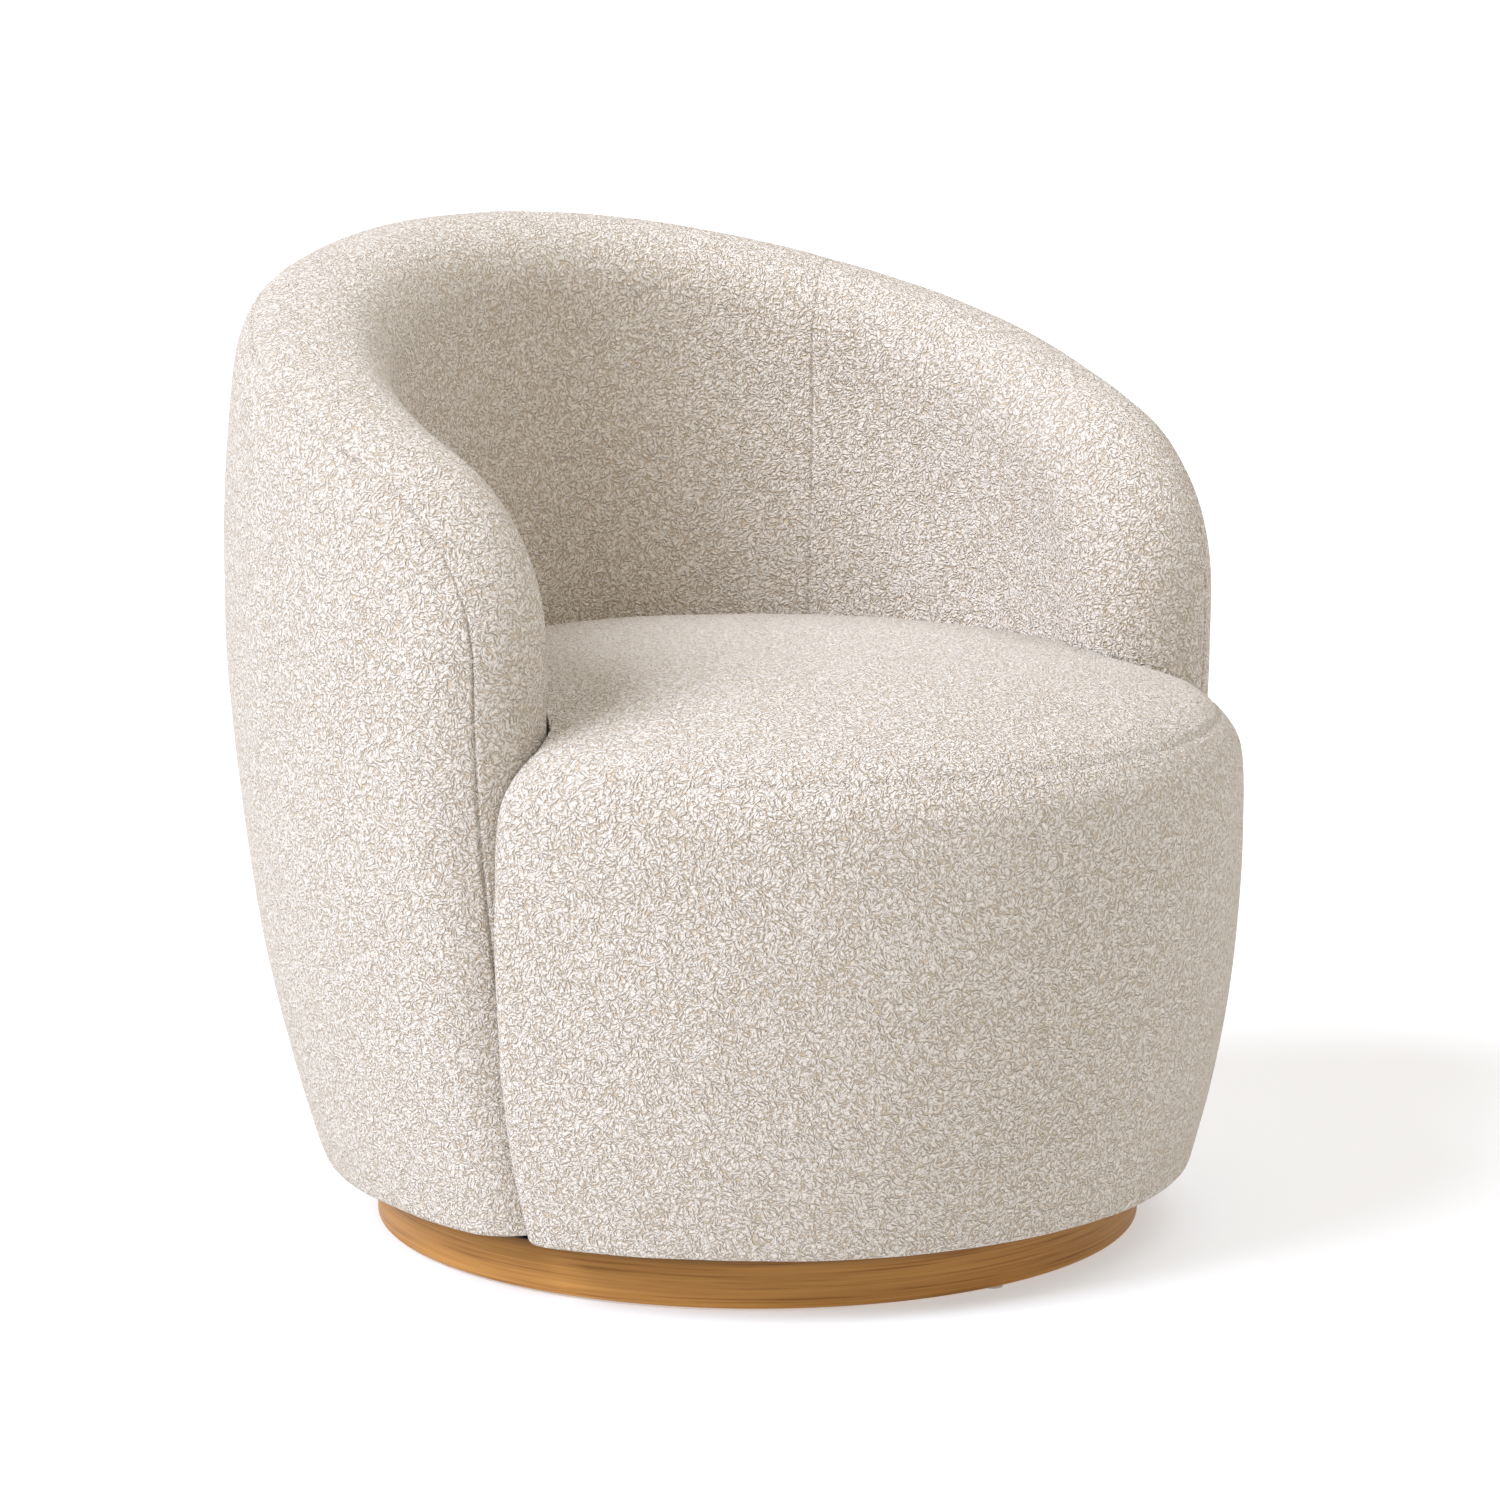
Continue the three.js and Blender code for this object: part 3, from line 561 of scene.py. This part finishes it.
def split_loop(loop, edges):
    """The loop cut back into the four edges of a patch."""
    a, b = len(edges[0]) - 1, len(edges[1]) - 1
    left = np.concatenate([loop[2 * a + b :], loop[:1]])[::-1]
    return loop[: a + 1], loop[a : a + b + 1], loop[a + b : 2 * a + b + 1][::-1], left


ROUND_LEVELS = 5
WALL_LEVELS = 46
TOP_LEVEL = SEAT_CROWN_Z - 0.006
LEVELS = np.concatenate([
    SKIRT_Z + np.linspace(0, GAP_ROUND, ROUND_LEVELS + 1)[:-1],
    np.linspace(SKIRT_Z + GAP_ROUND, TOP_LEVEL, WALL_LEVELS),
])
TOP_ROUNDS = 4

# The seat's rounded edge tightens from front to side over this many steps of the loop.
SHOULDER_FADE_BEFORE = 6
SHOULDER_FADE_STEPS = 11


class SeatLoops:
    """The seat's outline at a ladder of heights, and its top edge."""

    def __init__(self):
        self.loops = np.array([loop_of(seat_edges(z, float(skirt_inset(z)))) for z in LEVELS])
        self.edges = seat_edges(SEAT_SEAM_Z)
        size = self.loops.shape[1]
        self.top = np.full(size, SEAT_SEAM_Z)
        for _ in range(TOP_ROUNDS):
            self.top = seat_dome(np.linalg.norm(self.at(self.top), axis=-1))
        loop = self.at(self.top)
        out = np.roll(loop, -1, 0) - np.roll(loop, 1, 0)
        out = unit(np.stack([out[:, 1], -out[:, 0]], -1))
        corner = len(self.edges[0]) // 2 + CORNER_CUT
        half = size // 2
        place = np.abs((np.arange(size) + half - len(self.edges[0]) // 2) % size - half)
        fade = np.clip((place - corner + SHOULDER_FADE_BEFORE) / SHOULDER_FADE_STEPS, 0, 1)
        self.reach = reach = eased(FRONT_SHOULDER, SIDE_SHOULDER - FRONT_SHOULDER, fade)
        self.in_front = place <= corner
        self.edge = self.lift(loop)
        self.over = self.lift(loop - out * reach[:, None])
        self.under = np.column_stack([self.at(self.top - reach), self.top - reach])

    def at(self, heights):
        """The loop with each of its points at its own height."""
        low = np.clip(np.searchsorted(LEVELS, heights, "right") - 1, 0, len(LEVELS) - 2)
        share = ((heights - LEVELS[low]) / (LEVELS[low + 1] - LEVELS[low]))[:, None]
        pick = np.arange(self.loops.shape[1])
        return self.loops[low, pick] * (1 - share) + self.loops[low + 1, pick] * share

    def lift(self, flat):
        """Flat points brought up onto the dome."""
        return np.concatenate([flat, seat_dome(np.linalg.norm(flat, axis=-1))[..., None]], -1)

    def shoulder(self, index, turn):
        """The rounded edge: turn 0 is on top, 1 on the side, at a share of the loop's index."""
        size = len(self.top)
        low = np.floor(index).astype(int) % size
        share = (index - np.floor(index))[..., None]
        a, b, c = (
            line[low] * (1 - share) + line[(low + 1) % size] * share
            for line in (self.over, self.edge, self.under)
        )
        t = turn[..., None]
        return (1 - t) ** 2 * a + 2 * t * (1 - t) * b + t**2 * c


LINE_STEPS = 8


def nearest_on(loop, points):
    """For each flat point, its distance to the closed line and where on the line that is."""
    tree = KDTree(len(loop) * LINE_STEPS)
    following = np.roll(loop, -1, 0)
    for k in range(LINE_STEPS):
        for i, p in enumerate(loop + (following - loop) * k / LINE_STEPS):
            tree.insert((p[0], p[1], 0), i * LINE_STEPS + k)
    tree.balance()
    found = [tree.find((p[0], p[1], 0)) for p in points.reshape(-1, 2)]
    away = np.array([f[2] for f in found]).reshape(points.shape[:-1])
    index = np.array([f[1] for f in found]) / LINE_STEPS
    return away, index.reshape(points.shape[:-1])


def add_seat(skin):
    seat = SeatLoops()
    front, right, back, left = split_loop(seat.edge[:, :2], seat.edges)
    flat = coons(front, back, left, right)
    away, index = nearest_on(seat.edge[:, :2], flat)
    reach = seat.reach[np.round(index).astype(int) % len(seat.reach)]
    round_over = seat.shoulder(index, np.clip(1 - away / reach, 0, 1) / 2)
    top = np.where((away < reach)[..., None], round_over, seat.lift(flat))
    rim = np.arange(len(seat.top), dtype=float)
    mid = seat.shoulder(rim, np.full(len(rim), 0.5))
    for side, line in zip(
        (top[0], top[:, -1], top[-1], top[:, 0]), split_loop(mid, seat.edges)
    ):
        side[:] = line
    skin.add(top)

    shares = spread(0, SEAT_SEAM_Z - SKIRT_Z, fine_start=True) / (SEAT_SEAM_Z - SKIRT_Z)
    rings = []
    for share in shares:
        z = SKIRT_Z + (seat.top - SKIRT_Z) * share
        ring = np.column_stack([seat.at(z), z])
        below = (seat.top - z) / seat.reach
        rounded = seat.shoulder(rim, 0.5 + np.clip(below, 0, 1) / 2)
        ring = np.where((below < 1)[:, None], rounded, ring)
        rings.append(np.concatenate([ring, ring[:1]]))
    skin.add(np.array(rings))

    base = split_loop(seat.loops[0], seat.edges)
    flat = coons(base[0], base[2], base[3], base[1])
    away, _ = nearest_on(seat.loops[0], flat)
    hem = SKIRT_Z + HEM_LIFT * np.clip((away - HEM) / (HEM / 2), 0, 1)
    skin.add(np.concatenate([flat, hem[..., None]], -1))


def seat_seams():
    """Points along the seam at the front of the seat's top, with its depth."""
    seat = SeatLoops()
    rim = np.arange(0, len(seat.top), 1 / LINE_STEPS)
    line = seat.shoulder(rim, np.full(len(rim), 0.5))
    line = line[seat.in_front[np.round(rim).astype(int) % len(seat.top)]]
    return with_depth(line, SEAT_SEAM)


# ---- noise, seams and final surface ------------------------------------------------
NOISE_CELLS = 32


def value_noise(points, size, seed):
    """Smooth noise from -1 to 1 whose lumps are about that size."""
    table = np.random.RandomState(seed).uniform(-1, 1, (NOISE_CELLS,) * 3)
    p = points / size
    cell = np.floor(p).astype(int)
    f = p - cell
    f = eased(0, 1, f)
    out = np.zeros(len(points))
    for dx in (0, 1):
        for dy in (0, 1):
            for dz in (0, 1):
                corner = (cell + (dx, dy, dz)) % NOISE_CELLS
                weight = np.where(dx, f[:, 0], 1 - f[:, 0])
                weight = weight * np.where(dy, f[:, 1], 1 - f[:, 1])
                weight = weight * np.where(dz, f[:, 2], 1 - f[:, 2])
                out += weight * table[corner[:, 0], corner[:, 1], corner[:, 2]]
    return out


def read_points(mesh):
    """The mesh's points and their normals."""
    points = np.empty(len(mesh.vertices) * 3, np.float32)
    mesh.vertices.foreach_get("co", points)
    normals = np.empty(len(mesh.vertices) * 3, np.float32)
    mesh.vertices.foreach_get("normal", normals)
    return points.reshape(-1, 3).astype(float), normals.reshape(-1, 3).astype(float)


def nearest(points, line):
    """For each point, its distance to the line and the number of the line's nearest point."""
    tree = KDTree(len(line))
    for i, p in enumerate(line):
        tree.insert(p, i)
    tree.balance()
    found = [tree.find(p) for p in points]
    return np.array([f[2] for f in found]), np.array([f[1] for f in found])


def subdivide(obj):
    """Applies one level of subdivision surface to the object's mesh."""
    modifier = obj.modifiers.new("smooth", "SUBSURF")
    modifier.levels = modifier.render_levels = 1
    graph = bpy.context.evaluated_depsgraph_get()
    mesh = bpy.data.meshes.new_from_object(obj.evaluated_get(graph))
    obj.modifiers.clear()
    old, obj.data = obj.data, mesh
    bpy.data.meshes.remove(old)


def shade_smooth(obj):
    for polygon in obj.data.polygons:
        polygon.use_smooth = True


# The valley at a seam, the wider pull of its thread, and the puckers beside it.
SEAM_WIDTH = 0.0013
PULL_SHARE = 0.3
PULL_WIDTH = 0.016
PUCKER = 0.00025
PUCKER_AT = 0.006
PUCKER_REACH = 0.007
PUCKER_SIZE = 0.009
PUCKER_SEED = 21

# The stuffing's unevenness: size, height and seed.
LUMPS = ((0.11, 0.0011, 3), (0.035, 0.0004, 5))


def finish_cover(obj, seam_line):
    """Seam valleys, the pull of the thread, and the unevenness of stuffed cloth."""
    points, normals = read_points(obj.data)
    away, number = nearest(points, seam_line[:, :3])
    full = seam_line[number, 3]
    depth = full * np.exp(-((away / SEAM_WIDTH) ** 2))
    depth += PULL_SHARE * full * np.exp(-((away / PULL_WIDTH) ** 2))
    near = np.exp(-((away - PUCKER_AT) / PUCKER_REACH) ** 2)
    lift = PUCKER * near * value_noise(points, PUCKER_SIZE, PUCKER_SEED)
    for size, height, seed in LUMPS:
        lift += height * value_noise(points, size, seed)
    points += normals * (lift - depth)[:, None]
    obj.data.vertices.foreach_set("co", points.astype(np.float32).ravel())
    obj.data.update()
    shade_smooth(obj)


# ---- materials ---------------------------------------------------------------------
# The colour sockets of a Mix node, which share their names with its other sockets.
MIX_COLOUR_A, MIX_COLOUR_B, MIX_COLOUR_OUT = 6, 7, 2


class Nodes:
    """A short way to write node trees."""

    def __init__(self, name):
        self.material = bpy.data.materials.new(name)
        self.material.use_nodes = True
        self.tree = self.material.node_tree
        self.shader = self.tree.nodes["Principled BSDF"]

    def add(self, kind, inputs=None, **settings):
        node = self.tree.nodes.new("ShaderNode" + kind)
        for key, value in settings.items():
            setattr(node, key, value)
        for key, value in (inputs or {}).items():
            self.set(node.inputs[key], value)
        return node

    def set(self, socket, value):
        if isinstance(value, bpy.types.NodeSocket):
            self.tree.links.new(value, socket)
        else:
            socket.default_value = value

    def math(self, operation, a, b=0.0, c=0.0):
        node = self.add("Math", {0: a, 1: b, 2: c}, operation=operation)
        return node.outputs[0]

    def vector(self, operation, a, b=(0, 0, 0)):
        node = self.add("VectorMath", operation=operation)
        self.set(node.inputs[0], a)
        if operation == "SCALE":
            self.set(node.inputs["Scale"], b)
        elif operation != "NORMALIZE":
            self.set(node.inputs[1], b)
        return node.outputs["Value" if operation == "DOT_PRODUCT" else "Vector"]

    def ramp(self, value, low, high, to_low=0.0, to_high=1.0):
        """Maps low..high to to_low..to_high, and holds the ends."""
        node = self.add("MapRange", {0: value, 1: low, 2: high, 3: to_low, 4: to_high})
        return node.outputs[0]

    def mix(self, factor, a, b):
        node = self.add("Mix", data_type="RGBA")
        self.set(node.inputs["Factor"], factor)
        self.set(node.inputs[MIX_COLOUR_A], a)
        self.set(node.inputs[MIX_COLOUR_B], b)
        return node.outputs[MIX_COLOUR_OUT]

    def noise(self, vector, scale, detail=2.0, output="Fac"):
        node = self.add("TexNoise", {"Vector": vector, "Scale": scale, "Detail": detail})
        return node.outputs[output]

    def bump(self, height, distance, strength=1.0):
        node = self.add("Bump", {"Height": height, "Distance": distance, "Strength": strength})
        self.set(self.shader.inputs["Normal"], node.outputs[0])

    def finish(self, **values):
        for key, value in values.items():
            self.set(self.shader.inputs[key.replace("_", " ")], value)
        return self.material


# Boucle: the loops of yarn, the tufts in which they lie one way, how the rows curl, and the tones.
# The gaps' darker, warmer tone is painted shade between the loops.
YARN_WIDTH = 0.0018
YARN_STRETCH = 0.5
YARN_DEPTH = 0.0021
YARN_EDGE = 0.85
TUFT = 0.0056
CURL = 0.005
CURL_SCALE = 170.0
FIBRE_SCALE = 1500.0
FIBRE_SHARE = 0.1
PATCH_SCALE = 9.0
YARN_TONES = (0.765, 0.712, 0.645, 1), (0.79, 0.737, 0.67, 1)
# Painted shade: the tone given to the hollows between the loops.
LOOP_GAP_PAINTED_SHADE = (0.595, 0.50, 0.385, 1)


def make_boucle():
    """Looped yarn: worm-like loops close together, lying another way in every tuft."""
    n = Nodes("boucle")
    coordinates = n.add("TexCoord")
    place, normal = coordinates.outputs["Object"], coordinates.outputs["Normal"]
    drift = n.vector("SUBTRACT", n.noise(place, CURL_SCALE, 1.0, "Color"), (0.5, 0.5, 0.5))
    curled = n.vector("ADD", place, n.vector("SCALE", drift, CURL))
    tufts = n.add("TexVoronoi", {"Vector": curled, "Scale": 1 / TUFT, "Randomness": 1.0})
    colour = n.vector("SUBTRACT", tufts.outputs["Color"], (0.5, 0.5, 0.5))
    lie = n.vector("NORMALIZE", n.vector("CROSS_PRODUCT", normal, colour))
    local = n.vector("SUBTRACT", curled, tufts.outputs["Position"])
    excess = n.math("MULTIPLY", n.vector("DOT_PRODUCT", local, lie), YARN_STRETCH)
    squeezed = n.vector("SUBTRACT", curled, n.vector("SCALE", lie, excess))
    loops = n.add("TexVoronoi", {"Vector": squeezed, "Scale": 1 / YARN_WIDTH})
    off = n.ramp(loops.outputs["Distance"], 0.0, YARN_EDGE)
    height = n.math("SUBTRACT", 1.0, n.math("MULTIPLY", off, off))
    fibre = n.noise(place, FIBRE_SCALE, 1.0)
    n.bump(n.math("MULTIPLY_ADD", fibre, FIBRE_SHARE, height), YARN_DEPTH)
    light = n.mix(n.noise(place, PATCH_SCALE), *YARN_TONES)
    # Where the loops sink, the colour turns to the darker, warmer gap tone: painted shade between
    # the loops.
    base = n.mix(n.ramp(height, 0.35, 0.75), LOOP_GAP_PAINTED_SHADE, light)
    return n.finish(
        Base_Color=base, Roughness=0.95, Sheen_Weight=0.1, Sheen_Roughness=0.6,
        Specular_IOR_Level=0.1,
    )


# Grain that is drawn out along the ring: how much the length counts, and the noise's scale.
OAK_BROAD = (0.04, 170.0)
OAK_FINE = (0.014, 600.0)
# How far down from the ring's top the painted shadow of the cover's overhang reaches.
OAK_SHADOW_BAND = 0.011
OAK_TONES = (0.36, 0.155, 0.03, 1), (0.53, 0.262, 0.064, 1)
OAK_PIT_TONE = (0.29, 0.12, 0.023, 1)
# The painted shadow's tone, reached at the ring's top edge.
OAK_PAINTED_SHADOW_TONE = (0.06, 0.025, 0.008, 1)


def make_oak():
    """Oiled oak veneer, its grain running round the ring, with the joint at the back, and a
    painted shadow darkening its top edge under the cover.
    """
    n = Nodes("oak")
    x, y, z = n.add("SeparateXYZ", {0: n.add("TexCoord").outputs["Object"]}).outputs
    angle = n.math("ARCTAN2", x, n.math("MULTIPLY", y, -1.0))
    along = n.math("MULTIPLY", angle, PLINTH_RADIUS)

    def grain(stretch, scale, layer):
        drawn = n.math("MULTIPLY", along, stretch)
        place = n.add("CombineXYZ", {0: drawn, 1: z, 2: layer}).outputs[0]
        return n.noise(place, scale, 3.0)

    broad, pores = grain(*OAK_BROAD, 0.0), grain(*OAK_FINE, 0.3)
    bands = n.math("MULTIPLY_ADD", pores, 0.6, n.math("MULTIPLY", broad, 0.4))
    base = n.mix(n.ramp(bands, 0.36, 0.62), *OAK_TONES)
    pits = n.ramp(pores, 0.30, 0.42)
    n.bump(pits, 0.0003, 0.6)
    shade = n.mix(pits, OAK_PIT_TONE, base)
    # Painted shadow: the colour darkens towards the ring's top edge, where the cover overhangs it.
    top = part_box("plinth_ring")[1].z
    shade = n.mix(n.ramp(z, top - OAK_SHADOW_BAND, top - 0.001), shade, OAK_PAINTED_SHADOW_TONE)
    rough = n.ramp(broad, 0.3, 0.7, 0.42, 0.58)
    return n.finish(Base_Color=shade, Roughness=rough, Specular_IOR_Level=0.3)


def make_mottled(name, low, high, scale, roughness, depth, stretch=(1, 1, 1), metallic=0.0):
    """Two tones in a stretched noise, with bump from the same noise."""
    n = Nodes(name)
    place = n.vector("MULTIPLY", n.add("TexCoord").outputs["Object"], stretch)
    cloud = n.noise(place, scale, 4.0)
    base = n.mix(n.ramp(cloud, 0.3, 0.7), (*low, 1), (*high, 1))
    n.bump(cloud, depth, 0.6)
    rough = n.ramp(cloud, 0.3, 0.7, roughness - 0.06, roughness + 0.05)
    return n.finish(Base_Color=base, Roughness=rough, Metallic=metallic)


# Each plain material's two tones, noise scale, roughness and depth, and for some of them the
# stretch of the noise and how metallic it is.
MOTTLED = {
    "plywood": ((0.48, 0.33, 0.17), (0.66, 0.49, 0.29), 60, 0.75, 0.0004, (0.15, 1, 1)),
    "foam": ((0.72, 0.66, 0.45), (0.86, 0.81, 0.62), 700, 0.94, 0.0006),
    "felt": ((0.62, 0.59, 0.54), (0.72, 0.69, 0.64), 900, 0.94, 0.0004),
    "dust_cloth": ((0.02, 0.015, 0.011), (0.045, 0.036, 0.027), 1500, 0.9, 0.0002),
    "rubber": ((0.015, 0.015, 0.015), (0.03, 0.03, 0.03), 400, 0.8, 0.0001),
    "steel": ((0.50, 0.51, 0.52), (0.62, 0.63, 0.64), 250, 0.38, 0.00005, (1, 1, 0.1), 1.0),
    "spring_steel": (
        (0.30, 0.31, 0.32), (0.44, 0.45, 0.46), 300, 0.42, 0.00005, (1, 1, 1), 1.0,
    ),
}
MATERIALS = {"boucle": make_boucle(), "oak": make_oak()}
for name, values in MOTTLED.items():
    MATERIALS[name] = make_mottled(name, *values)


def wear(obj, slot):
    """Gives the object that slot's material."""
    obj.data.materials.clear()
    obj.data.materials.append(MATERIALS[slot])


# ---- pieces ------------------------------------------------------------------------
def make_cover(name, add, seams, replaced):
    """A padded boucle cover that stands for the CAD's covers and foam."""
    skin = Skin()
    add(skin)
    obj = skin.build(name)
    subdivide(obj)
    finish_cover(obj, seams())
    wear(obj, "boucle")
    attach(obj, "seat_shell")
    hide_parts(*replaced)


def make_ring(name, inner, outer, low, high, ease, slot, body, replaced):
    """A flat round ring with eased edges."""
    corners = [
        (inner + ease, low + ease, 180), (outer - ease, low + ease, 270),
        (outer - ease, high - ease, 0), (inner + ease, high - ease, 90),
    ]
    profile = []
    for r, z, start in corners:
        for k in range(RING_EDGE_STEPS + 1):
            turn = math.radians(start + 90 * k / RING_EDGE_STEPS)
            profile.append((r + ease * math.cos(turn), z + ease * math.sin(turn)))
    profile.append(profile[0])
    turns = np.linspace(0, 2 * math.pi, RING_SIDES + 1)
    ring = np.array([[[r * math.cos(t), r * math.sin(t), z] for t in turns] for r, z in profile])
    skin = Skin()
    skin.add(ring)
    obj = skin.build(name)
    shade_smooth(obj)
    wear(obj, slot)
    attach(obj, body)
    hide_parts(replaced)


def make_plinth():
    low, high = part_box("plinth_ring")
    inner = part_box("plinth_board")[1].x + JOINT
    make_ring(
        "oak_plinth", inner, high.x, low.z, high.z, PLINTH_EASE, "oak", "base", "plinth_ring"
    )


def make_board():
    """The bottom board, its edge kept behind the gaps between the arms and the seat."""
    low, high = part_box("bottom_board")
    make_ring(
        "board_under_seat", BOARD_BORE, BOARD_EDGE, low.z, high.z, BOARD_EASE, "plywood",
        "seat_shell", "bottom_board",
    )


SHELL_NODES = (
    "outside_cover_left", "outside_cover_right", "rim_cover", "rim_roll", "inside_foam",
    "inside_cover_left", "inside_cover_back", "inside_cover_right",
)
SEAT_NODES = ("seat_top_cover", "seat_front_cover", "seat_foam", "seat_front_foam")
make_cover("shell_cover", add_shell, shell_seams, SHELL_NODES)
make_cover("seat_cover", add_seat, seat_seams, SEAT_NODES)
make_plinth()
make_board()

slots = {part["node"]: part["material_slot"] for part in frame["record"]["subparts"]}
for name, node in frame["nodes"].items():
    wear(node, slots[name])


# ---- floor, light and camera -------------------------------------------------------
def add_sun(name, azimuth, elevation, strength, width, colour):
    """A soft distant light; azimuth is measured from +Y towards +X, and angles are in degrees."""
    light = bpy.data.lights.new(name, "SUN")
    light.energy = strength * math.pi
    light.color = colour
    light.angle = math.radians(width)
    obj = bpy.data.objects.new(name, light)
    a, e = math.radians(azimuth), math.radians(elevation)
    towards = Vector((math.sin(a) * math.cos(e), math.cos(a) * math.cos(e), math.sin(e)))
    obj.rotation_euler = (-towards).to_track_quat("-Z", "Y").to_euler()
    scene.collection.objects.link(obj)


def add_fill(place, aim, watts, cone, size):
    """A soft lamp with a snoot, for the hollow of the tub."""
    light = bpy.data.lights.new("fill", "SPOT")
    light.energy = watts
    light.spot_size = math.radians(cone)
    light.spot_blend = 1.0
    light.shadow_soft_size = size
    obj = bpy.data.objects.new("fill", light)
    obj.location = place
    obj.rotation_euler = (aim - place).to_track_quat("-Z", "Y").to_euler()
    obj.visible_camera = False
    scene.collection.objects.link(obj)


FLOOR_REACH = 900.0
FLOOR_TONES = (0.56, 0.56, 0.56, 1), (0.58, 0.58, 0.58, 1)
FLOOR_GLOW = 0.45
WORLD_COLOUR = (1.0, 0.84, 0.61, 1)
WORLD_STRENGTH = 0.40


def add_floor():
    """A wide sheet of pale paper with a little glow of its own."""
    mesh = bpy.data.meshes.new("floor")
    signs = ((-1, -1), (1, -1), (1, 1), (-1, 1))
    mesh.from_pydata([(x * FLOOR_REACH, y * FLOOR_REACH, 0) for x, y in signs], [], [(0, 1, 2, 3)])
    obj = bpy.data.objects.new("floor", mesh)
    scene.collection.objects.link(obj)
    n = Nodes("paper")
    grain = n.noise(n.add("TexCoord").outputs["Object"], 3.0)
    n.finish(
        Base_Color=n.mix(grain, *FLOOR_TONES), Roughness=0.95, Emission_Color=(1, 1, 1, 1),
        Emission_Strength=FLOOR_GLOW,
    )
    mesh.materials.append(n.material)


def add_world():
    world = bpy.data.worlds.new("studio")
    world.use_nodes = True
    background = world.node_tree.nodes["Background"]
    background.inputs["Color"].default_value = WORLD_COLOUR
    background.inputs["Strength"].default_value = WORLD_STRENGTH
    scene.world = world


CAMERA_PLACE = Vector((-2.046, -2.715, 0.932))
CAMERA_AIM = Vector((-0.0046, 0.0035, 0.356))
CAMERA_LENS = 108.6


def add_camera():
    data = bpy.data.cameras.new("camera")
    data.lens = CAMERA_LENS
    data.sensor_width = 36
    obj = bpy.data.objects.new("camera", data)
    obj.location = CAMERA_PLACE
    obj.rotation_euler = (CAMERA_AIM - CAMERA_PLACE).to_track_quat("-Z", "Y").to_euler()
    scene.collection.objects.link(obj)
    scene.camera = obj


add_floor()
add_world()
add_sun("key", azimuth=-82, elevation=42, strength=1.13, width=34, colour=(0.94, 1.0, 1.17))
add_sun("right", azimuth=100, elevation=60, strength=0.44, width=50, colour=(0.93, 1.0, 1.13))
add_fill(
    place=Vector((-0.3, -1.1, 1.4)), aim=Vector((0.05, 0.25, 0.62)), watts=21, cone=42, size=0.3
)
add_camera()
scene.view_settings.view_transform = "Standard"
